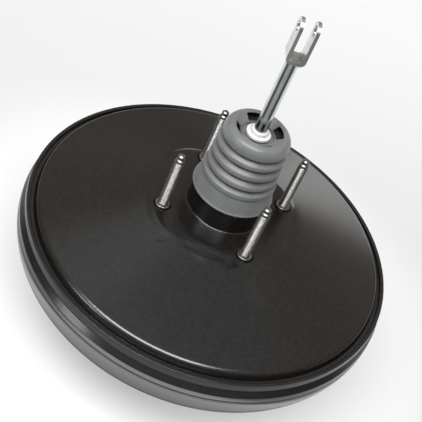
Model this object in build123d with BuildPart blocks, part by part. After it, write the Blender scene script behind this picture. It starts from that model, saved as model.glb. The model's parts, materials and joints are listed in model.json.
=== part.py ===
"""Vacuum brake booster, single diaphragm, about 12 inch over the shells.

Row frame: millimetres, +Z along the booster axis towards the pedal, origin at the centre of the face
that meets the firewall, +X along the clevis pin. The master cylinder side is at -Z.
"""

import os
from math import cos, radians, sin, sqrt, tan

from build123d import *

# ---------------------------------------------------------------- driving dimensions
SHELL_WALL = 1.8            # pressed steel of both shells
FIT = 0.05                  # radial clearance of pieces that are fitted together
SLIDE = 0.08                # radial clearance of sliding pieces
SEAT = 0.3                  # gap between a soft or sprung piece and its seat

# rear shell
NECK_R = 30.5
NECK_STRAIGHT = 19.0        # height of the straight part of the neck
NECK_TAPER = 14.4           # height of its tapered end
NECK_END_R = 27.2
NECK_MOUTH_R = 23.6
PAD_STEP = 1.2              # height of the firewall pad above the shell's flat
PAD_MARGIN = 2.2            # from the studs' circle to the middle of the pad's sides
PAD_CORNER = 28.0
PAD_ANGLE = -9.0
PAD_DEPTH = 6.0
FLAT_MARGIN = 9.7           # from the studs' circle to where the flat turns into the cone
FLANGE_DROP = 30.4          # drop of the flange below the pad's face
CONE_FALL = 12              # degrees that the cone falls, for its wall's depth
FLANGE_WIDTH = 3.9
WALL_LEAN = 3.1             # how far the wall above the flange leans in
FOLD_RISE = 6.0             # height of the fold above the flange

# front shell, from its widest circle inwards
SHELL_MAX_R = 153.2
RIM_INSET = 2.8             # the rim's outside
NECKED_INSET = 4.1          # the necked band under the rim
CURL_LAP = 3.2              # how far the rim is curled in over the flange
FLANGE_PLAY = 0.4           # gap round the flange
RIM_RISE = 2.5              # height of the rim's top above the flange
RIM_HEIGHT = 4.6
CURL_DROP = 1.1             # the curl's lip, down from the rim's top
CURL_TIP = 1.0              # thickness of the curl at its lip
NECKED_STEP = 1.7
BARREL_BELOW = 15.6         # from the flange down to the widest circle
SHOULDER_RISE = 2.3         # from the widest circle up to the crease
BARREL_END = 68.0           # degrees below the horizontal where the barrel meets the front cone
CONE_BELOW = 20.0           # from the barrel's lowest level down to the front face
FRONT_DROP = 112.0
FRONT_HOLE_R = 17.0

# studs
STUD_OFFSET = 52.3          # from the axis to each firewall stud
STUD_ANGLE = 19.0
STUD_R = 4.0
STUD_LENGTH = 51.3
STUD_NOSE = 5.2             # length of nose and neck beyond the thread
STUD_NOSE_R = 2.9
STUD_NECK_R = 2.2
STUD_NECK = 1.2             # length of the neck between the cones
STUD_RUNOUT = 0.8           # length of the cone where the thread ends
STUD_TIP = 1.4              # length of the nose's rounded tip
STUD_COLLAR_R = 6.0
STUD_COLLAR = 1.5           # height of the collar above the pad
STUD_SHOULDER_R = 4.6
STUD_HEAD_R = 8.0
STUD_HEAD = 3.2
STUD_HOLE_GAP = 0.9         # gap round the collar in the shell
PLATE_WALL = 3.0            # both reinforcement plates
REAR_PLATE_IN_R = 32.0
MC_STUD_OFFSET = 41.0       # from the axis to each master cylinder stud
MC_STUD_LENGTH = 22.0
REAR_PLATE_INSET = 1.0      # rear plate, in from the edge of the shell's flat
FRONT_PLATE_INSET = 8.3     # front plate, in from the edge of the front face

# vacuum check valve
VALVE_INSET = 56.2          # from the shell's widest circle in to the valve's axis
VALVE_BOSS_R = 16.0
VALVE_BOSS_RISE = 6.0       # height of the boss above the front face
VALVE_BOSS_HEIGHT = 16.0    # more than the cone rises across the boss
VALVE_BOSS_DRAFT = 12.0
VALVE_HOLE_R = 10.5
GROMMET_LIP = 2.6
VALVE_BODY_R = 7.6
VALVE_BODY_IN = 9.0         # how far the valve body reaches inside the shell
VALVE_BODY_OUT = 17.0
NIPPLE_R = 4.8
NIPPLE_LENGTH = 27.0
NIPPLE_BORE_R = 2.8
NIPPLE_RISE = 1.6           # wall under the nipple, down to the valve's end
VALVE_BORE_R = 3.4
DISC_R = 4.6
DISC_THICK = 1.6
DISC_STUB_R = 1.4
VALVE_COIL_R = 4.0
VALVE_WIRE_R = 0.3
VALVE_SPRING = 5.0
VALVE_SEAT_WALL = 2.5       # wall of the valve body above its disc

# neck: seal, guide and retainer
REAR_SEAL_BOTTOM = 2.0
GUIDE_BOTTOM = 8.0
GUIDE_TOP = 14.0
RETAINER_WALL = 1.2         # pressed steel rings that hold seals and bearings

# piston: valve body, plate and diaphragm
HUB_R = 20.0
HUB_TOP = 74.4
CHAMBER_R = 16.4
CHAMBER_FLOOR = -0.3
BEAD_R = 21.5
BEAD_HEIGHT = 2.6
HUB_FLANGE_R = 44.0
HUB_FLANGE = 5.0
HUB_BOSS_R = 24.0
HUB_BOTTOM = -44.0
RECESS_R = 11.2
RECESS_FLOOR = -33.0
BORE_R = 6.2
SEAT_IN_R = 11.8
SEAT_OUT_R = 13.6
SEAT_TOP = 16.2
PORT_R = 1.4
DIAPHRAGM_TOP = -11.6
DIAPHRAGM_WALL = 1.7
INNER_BEAD = 5.0            # width of the diaphragm's thick inner edge
DISH_WALL = 1.5
DISH_FLAT_R = 56.0
DISH_SLOPE = 15.5
DISH_RIM = 5.0
ROLL_WIDTH = 22.6           # across the diaphragm's rolling fold, from its inner leg to its outer one
ROLL_INSET = 1.9            # gap between the outer leg and the rear shell's wall
ROLL_BELOW = 14.6           # from the flange down to where the legs turn into the fold
BEAD_INSET = 1.0            # the outer bead, in from the flange's rim
BEAD_THICK = 5.4

# reaction and output side
REACTION_DISC = 5.5
OUTPUT_HEAD = 4.6
OUTPUT_R = 5.5
OUTPUT_REACH = 7.0          # how far the output rod stands out of the front face
SCREW_R = 3.0
SCREW_DEPTH = 12.0
SCREW_HEAD_R = 4.6
SCREW_HEAD = 5.0
CAP_R = 30.0
RETURN_COIL_R = 27.0
RETURN_WIRE_R = 1.8
RETURN_TURNS = 4
SMALL_TURNS = 3             # turns of the small springs
WIRE_SIDES = 4

# input side
PLUNGER_TRAVEL = 1.5
BALL_Z = 10.0
BALL_R = 7.0
PLUNGER_CUP_R = 9.6
PLUNGER_LIFT = 0.4          # how far the cup's rim stands above the vacuum seat
PLUNGER_MOUTH = 3.4         # how far the cup closes over the ball's centre
PLUNGER_CUP_FLOOR = 1.2
PLUNGER_GROOVE_R = 4.2
KEY_TOP = -3.3
KEY_THICK = 2.5
KEY_WIDTH = 15.0
KEY_REACH = 30.8
KEY_TAIL = 13.0
ROD_R = 5.0
ROD_NECK_R = 4.0
ROD_NECK_TOP = 20.0
POPPET_WALL = 1.6
POPPET_IN_R = 7.0
POPPET_TOP = 31.0
POPPET_COIL_R = 10.5
POPPET_WIRE_R = 0.6
ROD_COIL_R = 8.6
ROD_WIRE_R = 0.75
COLLAR_Z = 50.0
COLLAR_R = 10.0
COLLAR_THICK = 1.5
SWAGE = 0.8                 # height and depth of the bead swaged on the rod above the collar
FILTER_BOTTOM = 54.5
FILTER_TOP = 61.5
FILTER_IN_R = 8.2
SILENCER_TOP = 68.5

# clevis
CLEVIS_BOTTOM = 145.3
CLEVIS_WALL = 2.5
CLEVIS_GAP = 9.5
CLEVIS_WIDTH = 14.0
CLEVIS_PIN_Z = 171.5
CLEVIS_PIN_R = 4.05
CLEVIS_BEND = 4.2
SPIGOT_R = 3.9              # riveted end of the rod in the clevis
SPIGOT_FLARE = 1.0

# boot
BOOT_WALL = 1.4
SKIRT_BOTTOM = 19.7
SKIRT_R = 32.1
SKIRT_TOP = 34.4
SKIRT_TOP_R = 28.9
LIP_R = 29.6
LIP_Z = 36.9
RIDGE_R = 28.3              # lowest full ridge
RIDGE_Z = 45.2
RIDGE_SHRINK = 0.65         # each ridge above is smaller by this much
RIDGE_PITCH = 9.6
RIDGE_COUNT = 3
GROOVE_R = 24.4             # lowest groove
BOOT_FLAT = 1.0             # half height of the flat that stands for a rounded ridge or groove
DOME_R = 26.0
DOME_Z = 74.8
CREST_R = 20.0
CREST_Z = 80.8
CREST_WIDTH = 3.6           # across the crest's flattened top
FUNNEL_STEP_R = 12.9        # inner end of the sloping funnel, above the foot
FUNNEL_STEP = 2.5
FUNNEL_FOOT_R = 12.0
FUNNEL_FOOT = 74.2
BOOT_HOLE_R = 8.9
WINDOW_IN_R = 13.3
WINDOW_OUT_R = 18.6
WINDOW_SPAN = 46.0
WINDOW_ANGLE = 12.0
WINDOW_COUNT = 4

# bush round the rod
BUSH_RING_R = 9.6
BUSH_NECK_R = 6.0
BUSH_RING_TOP = 78.0
BUSH_RING = 2.0
BUSH_COLLAR_R = 6.5
BUSH_COLLAR_TOP = 80.5
BUSH_FOOT_R = 12.0
BUSH_FOOT = 1.2
BUSH_PLAY = 0.6             # gap between the foot and the boot above it

# ---------------------------------------------------------------- worked out
rim_r = SHELL_MAX_R - RIM_INSET
necked_r = SHELL_MAX_R - NECKED_INSET
curl_in_r = rim_r - CURL_LAP
flange_r = rim_r - SHELL_WALL - FLANGE_PLAY
wall_foot_r = flange_r - FLANGE_WIDTH
fold_r = wall_foot_r - WALL_LEAN
flat_r = STUD_OFFSET + FLAT_MARGIN
pad_half = STUD_OFFSET + PAD_MARGIN
flat_z = -PAD_STEP
flange_z = -FLANGE_DROP
fold_z = flange_z + FOLD_RISE
cone_slope = (fold_z - flat_z) / (fold_r - flat_r)
rim_top = flange_z + RIM_RISE
barrel_z = flange_z - BARREL_BELOW
shoulder_z = barrel_z + SHOULDER_RISE
front_z = -FRONT_DROP
barrel_r = barrel_z - CONE_BELOW - front_z
barrel_centre = (SHELL_MAX_R - barrel_r, barrel_z)
front_inside = front_z + SHELL_WALL
rear_plate_top = flat_z - SHELL_WALL
rear_plate_bottom = rear_plate_top - PLATE_WALL
front_plate_top = front_inside + PLATE_WALL
dish_top = DIAPHRAGM_TOP - DIAPHRAGM_WALL
hub_flange_top = dish_top - DISH_WALL
reaction_top = RECESS_FLOOR - SEAT
reaction_bottom = reaction_top - REACTION_DISC
output_head_top = reaction_bottom - SEAT
cap_top = HUB_BOTTOM - SEAT
cup_top = SEAT_TOP + PLUNGER_LIFT
poppet_bottom = cup_top + SEAT
poppet_face = poppet_bottom + POPPET_WALL
neck_end_z = NECK_STRAIGHT + NECK_TAPER
neck_fit_r = NECK_R - SHELL_WALL - FIT
rear_plate_r = flat_r - REAR_PLATE_INSET
boss_z = front_z + VALVE_BOSS_RISE
valve_x = VALVE_INSET - SHELL_MAX_R
roll_out_r = wall_foot_r - SHELL_WALL - ROLL_INSET
roll_in_r = roll_out_r - ROLL_WIDTH
roll_z = flange_z - ROLL_BELOW
dish_r = roll_in_r - DIAPHRAGM_WALL - SEAT
output_end = front_z - OUTPUT_REACH
key_bottom = KEY_TOP - KEY_THICK
key_gap_r = PLUNGER_GROOVE_R + 2 * FIT
valve_axis = Axis((valve_x, 0, 0), (0, 0, 1))
valve_plane = Plane(origin=(valve_x, 0, 0), x_dir=(1, 0, 0), z_dir=(0, -1, 0))
collar_top = COLLAR_Z + COLLAR_THICK
valve_seat_z = boss_z + VALVE_BODY_IN - VALVE_SEAT_WALL
valve_disc_top = valve_seat_z - FIT
valve_spring_bottom = valve_disc_top - DISC_THICK - VALVE_SPRING


def cone_z(r):
    """Height of the rear shell's outer cone at radius r."""
    return flat_z + (r - flat_r) * cone_slope


def dish_drop(r):
    """How far the piston's dish lies below its flat at radius r."""
    return max(0.0, r - DISH_FLAT_R) * tan(radians(DISH_SLOPE))


def barrel_point(angle, inset):
    """Point of the front shell's barrel, angle degrees below the horizontal, inset from the outside."""
    radius = barrel_r - inset
    return (
        barrel_centre[0] + radius * cos(radians(angle)),
        barrel_centre[1] - radius * sin(radians(angle)),
    )


def front_flat_r(inset, face_z):
    """Radius where the front cone meets a flat at height face_z, both inset from the shell's outside."""
    end = barrel_point(BARREL_END, inset)
    return end[0] - (end[1] - face_z) * tan(radians(BARREL_END))


def write(piece, name):
    """Labels a finished piece and writes its STEP file."""
    piece.part.label = name
    export_step(piece.part, f"parts/{name}.step")


def turned(outline):
    """A piece turned about the booster's axis from a closed outline of (radius, height) points."""
    with BuildPart() as piece:
        with BuildSketch(Plane.XZ):
            with BuildLine():
                Polyline(*outline, close=True)
            make_face()
        revolve(axis=Axis.Z)
    return piece


def ring(r_in, r_out, bottom, top):
    """A plain turned ring."""
    return turned([(r_in, bottom), (r_out, bottom), (r_out, top), (r_in, top)])


def coil(coil_r, wire_r, bottom, top, turns, centre=(0, 0)):
    """A helical spring whose wire, drawn with few sides, lies between the heights bottom and top."""
    height = top - bottom - 2 * wire_r
    with BuildPart() as piece:
        with BuildLine() as path:
            Helix(
                pitch=height / turns,
                height=height,
                radius=coil_r,
                center=(centre[0], centre[1], bottom + wire_r),
            )
        with BuildSketch(Plane(origin=path.line @ 0, z_dir=path.line % 0)):
            RegularPolygon(wire_r, WIRE_SIDES)
        sweep(is_frenet=True)
    return piece


# ---------------------------------------------------------------- shells
def make_rear_shell():
    """Pressed rear shell: tapered neck, raised square pad, shallow cone, fold and clamping flange."""
    neck_in = NECK_R - SHELL_WALL
    end_in = NECK_END_R - SHELL_WALL
    wall_drop = SHELL_WALL / cos(radians(CONE_FALL))
    outside = [
        (NECK_MOUTH_R, neck_end_z),
        (NECK_END_R, neck_end_z),
        (NECK_R, NECK_STRAIGHT),
        (NECK_R, flat_z),
        (flat_r, flat_z),
        (fold_r, fold_z),
        (wall_foot_r, flange_z),
        (flange_r, flange_z),
    ]
    inside = [
        (flange_r, flange_z - SHELL_WALL),
        (wall_foot_r - SHELL_WALL, flange_z - SHELL_WALL),
        (fold_r - SHELL_WALL, fold_z - wall_drop),
        (flat_r, flat_z - SHELL_WALL),
        (neck_in, flat_z - SHELL_WALL),
        (neck_in, NECK_STRAIGHT),
        (end_in, neck_end_z - SHELL_WALL),
        (NECK_MOUTH_R, neck_end_z - SHELL_WALL),
    ]
    pad_reach = flat_r + PAD_DEPTH / -cone_slope
    with BuildPart() as piece:
        with BuildSketch(Plane.XZ):
            with BuildLine():
                Polyline(*outside, *inside, close=True)
            make_face()
        revolve(axis=Axis.Z)
        with BuildSketch(Plane.XY):
            RectangleRounded(2 * pad_half, 2 * pad_half, PAD_CORNER, rotation=PAD_ANGLE)
            Circle(NECK_R - SHELL_WALL / 2, mode=Mode.SUBTRACT)
        extrude(amount=-PAD_DEPTH)
        pad_rim = piece.edges().filter_by_position(Axis.Z, -FIT, FIT)
        fillet(pad_rim, PAD_STEP * 0.6)
        with BuildSketch(Plane.XZ):
            with BuildLine():
                Polyline(
                    (0, flat_z - SHELL_WALL),
                    (flat_r, flat_z - SHELL_WALL),
                    (pad_reach, cone_z(pad_reach) - wall_drop),
                    (pad_reach, cone_z(pad_reach) - 2 * PAD_DEPTH),
                    (0, cone_z(pad_reach) - 2 * PAD_DEPTH),
                    close=True,
                )
            make_face()
        revolve(axis=Axis.Z, mode=Mode.SUBTRACT)
        with PolarLocations(STUD_OFFSET, 4, start_angle=STUD_ANGLE):
            Cylinder(
                STUD_COLLAR_R + STUD_HOLE_GAP,
                4 * SHELL_WALL,
                mode=Mode.SUBTRACT,
            )
        circles = piece.edges().filter_by(GeomType.CIRCLE)
        fold = circles.filter_by_position(Axis.Z, fold_z - FIT, fold_z + FIT)
        neck_corners = circles.filter_by_position(Axis.Z, NECK_STRAIGHT - FIT, neck_end_z + FIT)
        fillet(fold.sort_by(SortBy.RADIUS)[-1], SHELL_WALL)
        fillet(neck_corners.filter_by(lambda edge: edge.radius > NECK_END_R - FIT), SHELL_WALL)
    return piece


def make_front_shell():
    """Deep front shell: curled rim, necked band, barrel side, shallow front cone and flat front."""
    crease = (barrel_centre[0] + sqrt(barrel_r**2 - SHOULDER_RISE**2), shoulder_z)
    out_mid = barrel_point(BARREL_END / 2, 0)
    out_end = barrel_point(BARREL_END, 0)
    in_mid = barrel_point(BARREL_END / 2, SHELL_WALL)
    in_end = barrel_point(BARREL_END, SHELL_WALL)
    in_start = (SHELL_MAX_R - SHELL_WALL, barrel_z)
    curl_z = rim_top - CURL_DROP
    rim_bottom = rim_top - RIM_HEIGHT
    neck_z = rim_bottom - NECKED_STEP
    flat_out_r = front_flat_r(0, front_z)
    flat_in_r = front_flat_r(SHELL_WALL, front_inside)
    with BuildPart() as piece:
        with BuildSketch(Plane.XZ):
            with BuildLine():
                Polyline(
                    (curl_in_r, curl_z - CURL_TIP),
                    (curl_in_r, curl_z),
                    (rim_r - SHELL_WALL, rim_top),
                    (rim_r, curl_z),
                    (rim_r, rim_bottom),
                    (necked_r, neck_z),
                    crease,
                )
                ThreePointArc(crease, out_mid, out_end)
                Polyline(
                    out_end,
                    (flat_out_r, front_z),
                    (FRONT_HOLE_R, front_z),
                    (FRONT_HOLE_R, front_inside),
                    (flat_in_r, front_inside),
                    in_end,
                )
                ThreePointArc(in_end, in_mid, in_start)
                Polyline(
                    in_start,
                    (crease[0] - SHELL_WALL, shoulder_z),
                    (necked_r - SHELL_WALL, neck_z - SHELL_WALL / 4),
                    (rim_r - SHELL_WALL, rim_bottom),
                    (rim_r - SHELL_WALL, curl_z - CURL_TIP),
                    (curl_in_r, curl_z - CURL_TIP),
                )
            make_face()
        revolve(axis=Axis.Z)
        with BuildSketch(Plane.XY.offset(boss_z)):
            with Locations((valve_x, 0)):
                Circle(VALVE_BOSS_R)
        extrude(amount=VALVE_BOSS_HEIGHT, taper=-VALVE_BOSS_DRAFT)
        with BuildSketch(Plane.XZ):
            with BuildLine():
                Polyline(
                    (0, in_end[1]),
                    (0, front_inside),
                    (flat_in_r, front_inside),
                    in_end,
                    close=True,
                )
            make_face()
        revolve(axis=Axis.Z, mode=Mode.SUBTRACT)
        with BuildSketch(Plane.XY.offset(boss_z + SHELL_WALL)):
            with Locations((valve_x, 0)):
                Circle(VALVE_BOSS_R - SHELL_WALL)
        extrude(amount=VALVE_BOSS_HEIGHT, taper=-VALVE_BOSS_DRAFT, mode=Mode.SUBTRACT)
        with Locations((valve_x, 0, boss_z)):
            Cylinder(VALVE_HOLE_R, 3 * SHELL_WALL, mode=Mode.SUBTRACT)
        with PolarLocations(MC_STUD_OFFSET, 2):
            with Locations((0, 0, front_z)):
                Cylinder(STUD_COLLAR_R + STUD_HOLE_GAP, 3 * SHELL_WALL, mode=Mode.SUBTRACT)
    return piece


def make_rear_plate():
    """Steel plate behind the firewall pad that carries the four studs."""
    with BuildPart() as piece:
        with BuildSketch(Plane.XY.offset(rear_plate_bottom)):
            Circle(rear_plate_r)
            Circle(REAR_PLATE_IN_R, mode=Mode.SUBTRACT)
            with PolarLocations(STUD_OFFSET, 4, start_angle=STUD_ANGLE):
                Circle(STUD_SHOULDER_R + FIT, mode=Mode.SUBTRACT)
        extrude(amount=PLATE_WALL)
    return piece


def make_front_plate():
    """Steel plate inside the front shell that carries the two master cylinder studs."""
    with BuildPart() as piece:
        with BuildSketch(Plane.XY.offset(front_inside)):
            Circle(front_flat_r(SHELL_WALL, front_inside) - FRONT_PLATE_INSET)
            Circle(FRONT_HOLE_R, mode=Mode.SUBTRACT)
            with PolarLocations(MC_STUD_OFFSET, 2):
                Circle(STUD_SHOULDER_R + FIT, mode=Mode.SUBTRACT)
        extrude(amount=PLATE_WALL)
        rim = piece.faces().sort_by(Axis.Z)[-1].outer_wire().edges()
        chamfer(rim, PLATE_WALL / 3)
    return piece


def stud_outline(seat_z, collar_z, end_z, head_z):
    """Half outline of a staked stud: head, shoulder, collar, thread, neck and rounded nose."""
    thread_end = end_z - STUD_NOSE
    return [
        (0, head_z),
        (STUD_HEAD_R, head_z),
        (STUD_HEAD_R, head_z + STUD_HEAD),
        (STUD_SHOULDER_R, head_z + STUD_HEAD),
        (STUD_SHOULDER_R, seat_z),
        (STUD_COLLAR_R, seat_z),
        (STUD_COLLAR_R, collar_z),
        (STUD_R, collar_z),
        (STUD_R, thread_end - STUD_RUNOUT),
        (STUD_NECK_R, thread_end + STUD_RUNOUT / 2),
        (STUD_NECK_R, thread_end + STUD_RUNOUT / 2 + STUD_NECK),
        (STUD_NOSE_R, thread_end + STUD_RUNOUT + STUD_NECK),
        (STUD_NOSE_R, end_z - STUD_TIP),
        (STUD_NOSE_R / 2, end_z),
        (0, end_z),
    ]


def make_studs(radius, count, start_angle, outline, flip):
    """Equal studs round the axis, each turned from the same outline, pointing to +Z or, flipped, -Z."""
    with BuildPart(mode=Mode.PRIVATE) as one:
        with BuildSketch(Plane.XZ):
            with BuildLine():
                Polyline(*outline, close=True)
            make_face()
        revolve(axis=Axis.Z)
    stud = mirror(one.part, about=Plane.XY) if flip else one.part
    with BuildPart() as piece:
        with PolarLocations(radius, count, start_angle=start_angle):
            add(stud)
    return piece


# ---------------------------------------------------------------- neck: guide, seal, retainer
def make_guide_bearing():
    """Nylon ring that guides the valve body in the neck, with a relieved middle."""
    r_out = neck_fit_r
    middle = (GUIDE_BOTTOM + GUIDE_TOP) / 2
    return turned([
        (HUB_R + SLIDE, GUIDE_BOTTOM),
        (r_out, GUIDE_BOTTOM),
        (r_out, GUIDE_TOP),
        (HUB_R + SLIDE, GUIDE_TOP),
        (HUB_R + SLIDE, middle + 1),
        (HUB_R + 1, middle + 0.5),
        (HUB_R + 1, middle - 0.5),
        (HUB_R + SLIDE, middle - 1),
    ])


def make_rear_seal():
    """Rubber lip seal in the neck, its lip on the valve body."""
    r_out = neck_fit_r
    return turned([
        (HUB_R + 3, GUIDE_BOTTOM - 1),
        (r_out, GUIDE_BOTTOM - 0.1),
        (r_out, REAR_SEAL_BOTTOM),
        (r_out - 2, REAR_SEAL_BOTTOM),
        (r_out - 2, GUIDE_BOTTOM - 3),
        (HUB_R + 3, GUIDE_BOTTOM - 3),
        (HUB_R + 1.6, REAR_SEAL_BOTTOM),
        (HUB_R + SLIDE, REAR_SEAL_BOTTOM + 0.4),
    ])


def make_bearing_retainer():
    """Pressed steel ring that holds the guide bearing in the neck."""
    r_out = neck_fit_r
    return turned([
        (HUB_R + 2, GUIDE_TOP + 0.1),
        (r_out, GUIDE_TOP + 0.1),
        (r_out, NECK_STRAIGHT - 0.2),
        (r_out - RETAINER_WALL, NECK_STRAIGHT - 0.2),
        (r_out - RETAINER_WALL, GUIDE_TOP + RETAINER_WALL + 0.1),
        (HUB_R + 2, GUIDE_TOP + RETAINER_WALL + 0.1),
    ])


# ---------------------------------------------------------------- front seal and check valve
def make_front_seal():
    """Rubber cup seal round the output rod, in the front shell's hole."""
    r_out = FRONT_HOLE_R - FIT
    top = front_plate_top - 0.1
    return turned([
        (OUTPUT_R + SLIDE, front_z + 0.6),
        (OUTPUT_R + 2.5, front_z + 0.6),
        (OUTPUT_R + 4, front_z + 3),
        (r_out - 1.5, front_z + 3),
        (r_out - 1.5, front_z + 0.2),
        (r_out, front_z + 0.2),
        (r_out, top),
        (OUTPUT_R + 4, top),
        (OUTPUT_R + SLIDE, top - 1.5),
    ])


def make_front_seal_retainer():
    """Steel ring over the front seal, with a rim that centres the return spring."""
    r_out = RETURN_COIL_R - RETURN_WIRE_R - 0.6
    bottom = front_plate_top
    return turned([
        (OUTPUT_R + 2, bottom),
        (r_out, bottom),
        (r_out, bottom + 3),
        (r_out - RETAINER_WALL, bottom + 3),
        (r_out - RETAINER_WALL, bottom + RETAINER_WALL),
        (OUTPUT_R + 2, bottom + RETAINER_WALL),
    ])


def on_valve_axis(outline):
    """A piece turned from (radius, height) points about the check valve's axis."""
    with BuildPart() as piece:
        with BuildSketch(valve_plane):
            with BuildLine():
                Polyline(*outline, close=True)
            make_face()
        revolve(axis=valve_axis)
    return piece


def make_grommet():
    """Rubber grommet that holds the check valve in the front shell."""
    wall_in = VALVE_HOLE_R - FIT
    low = boss_z - GROMMET_LIP
    high = boss_z + SHELL_WALL + GROMMET_LIP
    return on_valve_axis([
        (VALVE_BODY_R + FIT, low),
        (VALVE_HOLE_R + 1.5, low),
        (VALVE_HOLE_R + 2.5, low + 1),
        (VALVE_HOLE_R + 2.5, boss_z - FIT),
        (wall_in, boss_z - FIT),
        (wall_in, boss_z + SHELL_WALL + FIT),
        (VALVE_HOLE_R + 1.8, boss_z + SHELL_WALL + FIT),
        (VALVE_HOLE_R + 0.5, high),
        (VALVE_BODY_R + FIT, high),
    ])


def make_check_valve_body():
    """Moulded check valve: stem with an inner seat, flange, and an elbow nipple for the hose."""
    bottom = boss_z - VALVE_BODY_OUT
    top = boss_z + VALVE_BODY_IN
    flange = boss_z - GROMMET_LIP - FIT
    nipple_z = bottom + NIPPLE_R + NIPPLE_RISE
    nipple_plane = Plane(origin=(valve_x, 0, nipple_z), x_dir=(0, 1, 0), z_dir=(-1, 0, 0))
    with BuildPart() as piece:
        with BuildSketch(valve_plane):
            with BuildLine():
                Polyline(
                    (0, bottom),
                    (VALVE_BODY_R + 1, bottom),
                    (VALVE_BODY_R + 2, bottom + 1),
                    (VALVE_BODY_R + 2, flange - 2.4),
                    (VALVE_BODY_R + 4, flange - 2.4),
                    (VALVE_BODY_R + 4, flange),
                    (VALVE_BODY_R, flange),
                    (VALVE_BODY_R, top),
                    (0, top),
                    close=True,
                )
            make_face()
        revolve(axis=valve_axis)
        with BuildSketch(nipple_plane):
            Circle(NIPPLE_R)
        extrude(amount=NIPPLE_LENGTH)
        with BuildSketch(nipple_plane.offset(NIPPLE_LENGTH - 5)):
            Circle(NIPPLE_R + 0.8)
        extrude(amount=4, taper=11)
        with BuildSketch(valve_plane):
            with BuildLine():
                Polyline(
                    (0, nipple_z - VALVE_BORE_R),
                    (VALVE_BORE_R, nipple_z - VALVE_BORE_R),
                    (VALVE_BORE_R, valve_spring_bottom - FIT),
                    (DISC_R + 0.9, valve_spring_bottom - FIT),
                    (DISC_R + 0.9, valve_seat_z),
                    (VALVE_BORE_R, valve_seat_z),
                    (VALVE_BORE_R, top),
                    (0, top),
                    close=True,
                )
            make_face()
        revolve(axis=valve_axis, mode=Mode.SUBTRACT)
        with BuildSketch(nipple_plane):
            Circle(NIPPLE_BORE_R)
        extrude(amount=NIPPLE_LENGTH, mode=Mode.SUBTRACT)
    return piece


def make_check_valve_disc():
    """Rubber disc with a guide stub, which leaves its seat towards the hose."""
    low = valve_disc_top - DISC_THICK
    return on_valve_axis([
        (0, low - 2),
        (DISC_STUB_R - 0.4, low - 2),
        (DISC_STUB_R, low),
        (DISC_R, low),
        (DISC_R, valve_disc_top - 0.5),
        (DISC_R - 0.5, valve_disc_top),
        (0, valve_disc_top),
    ])


def make_check_valve_spring():
    """Light spring that holds the disc on its seat."""
    top = valve_disc_top - DISC_THICK
    return coil(VALVE_COIL_R, VALVE_WIRE_R, valve_spring_bottom, top - FIT, SMALL_TURNS, (valve_x, 0))


# ---------------------------------------------------------------- piston
def make_valve_body():
    """Moulded valve body: guide tube, flange, front boss, air chamber with the vacuum seat, and ports."""
    with BuildPart() as piece:
        with BuildSketch(Plane.XZ):
            with BuildLine():
                Polyline(
                    (BORE_R, RECESS_FLOOR),
                    (RECESS_R, RECESS_FLOOR),
                    (RECESS_R, HUB_BOTTOM),
                    (HUB_BOSS_R, HUB_BOTTOM),
                    (HUB_BOSS_R, hub_flange_top - HUB_FLANGE),
                    (HUB_FLANGE_R, hub_flange_top - HUB_FLANGE),
                    (HUB_FLANGE_R, hub_flange_top),
                    (HUB_R, hub_flange_top),
                    (HUB_R, HUB_TOP - BEAD_HEIGHT - 1.5),
                    (BEAD_R, HUB_TOP - BEAD_HEIGHT),
                    (BEAD_R, HUB_TOP - 0.8),
                    (BEAD_R - 0.8, HUB_TOP),
                    (CHAMBER_R + 0.8, HUB_TOP),
                    (CHAMBER_R, HUB_TOP - 0.8),
                    (CHAMBER_R, CHAMBER_FLOOR),
                    (SEAT_OUT_R, CHAMBER_FLOOR),
                    (SEAT_OUT_R, SEAT_TOP),
                    (SEAT_IN_R, SEAT_TOP),
                    (SEAT_IN_R, CHAMBER_FLOOR),
                    (BORE_R, CHAMBER_FLOOR),
                    close=True,
                )
            make_face()
        revolve(axis=Axis.Z)
        with BuildSketch(Plane.XY.offset(key_bottom - FIT)):
            with Locations(((KEY_REACH - KEY_TAIL) / 2, 0)):
                Rectangle(KEY_REACH + KEY_TAIL + 1, KEY_WIDTH + 2 * SEAT)
        extrude(amount=KEY_THICK + 2 * FIT, mode=Mode.SUBTRACT)
        with BuildSketch(Plane.XY.offset(HUB_BOTTOM)):
            with PolarLocations((SEAT_OUT_R + CHAMBER_R) / 2, 4, start_angle=45):
                Circle(PORT_R)
        extrude(amount=CHAMBER_FLOOR - HUB_BOTTOM, mode=Mode.SUBTRACT)
    return piece


def make_retaining_key():
    """Forked steel key through the valve body: holds the plunger and stops on the rear shell."""
    with BuildPart() as piece:
        with BuildSketch(Plane.XY.offset(key_bottom)):
            with Locations(((KEY_REACH - KEY_TAIL) / 2, 0)):
                Rectangle(KEY_REACH + KEY_TAIL, KEY_WIDTH)
            with Locations((-KEY_TAIL / 2, 0)):
                Rectangle(KEY_TAIL, 2 * key_gap_r, mode=Mode.SUBTRACT)
            Circle(key_gap_r, mode=Mode.SUBTRACT)
        extrude(amount=KEY_THICK)
        fillet(piece.edges().filter_by(Axis.Z).sort_by(Axis.X)[-2:], KEY_WIDTH / 5)
    return piece


def make_diaphragm_plate():
    """Pressed steel dish in front of the diaphragm, clamped on the valve body's flange."""
    edge_top = dish_top - dish_drop(dish_r)
    rise = DISH_WALL / cos(radians(DISH_SLOPE))
    return turned([
        (HUB_R + FIT, dish_top),
        (DISH_FLAT_R, dish_top),
        (dish_r, edge_top),
        (dish_r, edge_top - DISH_RIM),
        (dish_r - DISH_WALL, edge_top - DISH_RIM),
        (dish_r - DISH_WALL, edge_top - rise),
        (DISH_FLAT_R, dish_top - DISH_WALL),
        (HUB_R + FIT, dish_top - DISH_WALL),
    ])


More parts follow.
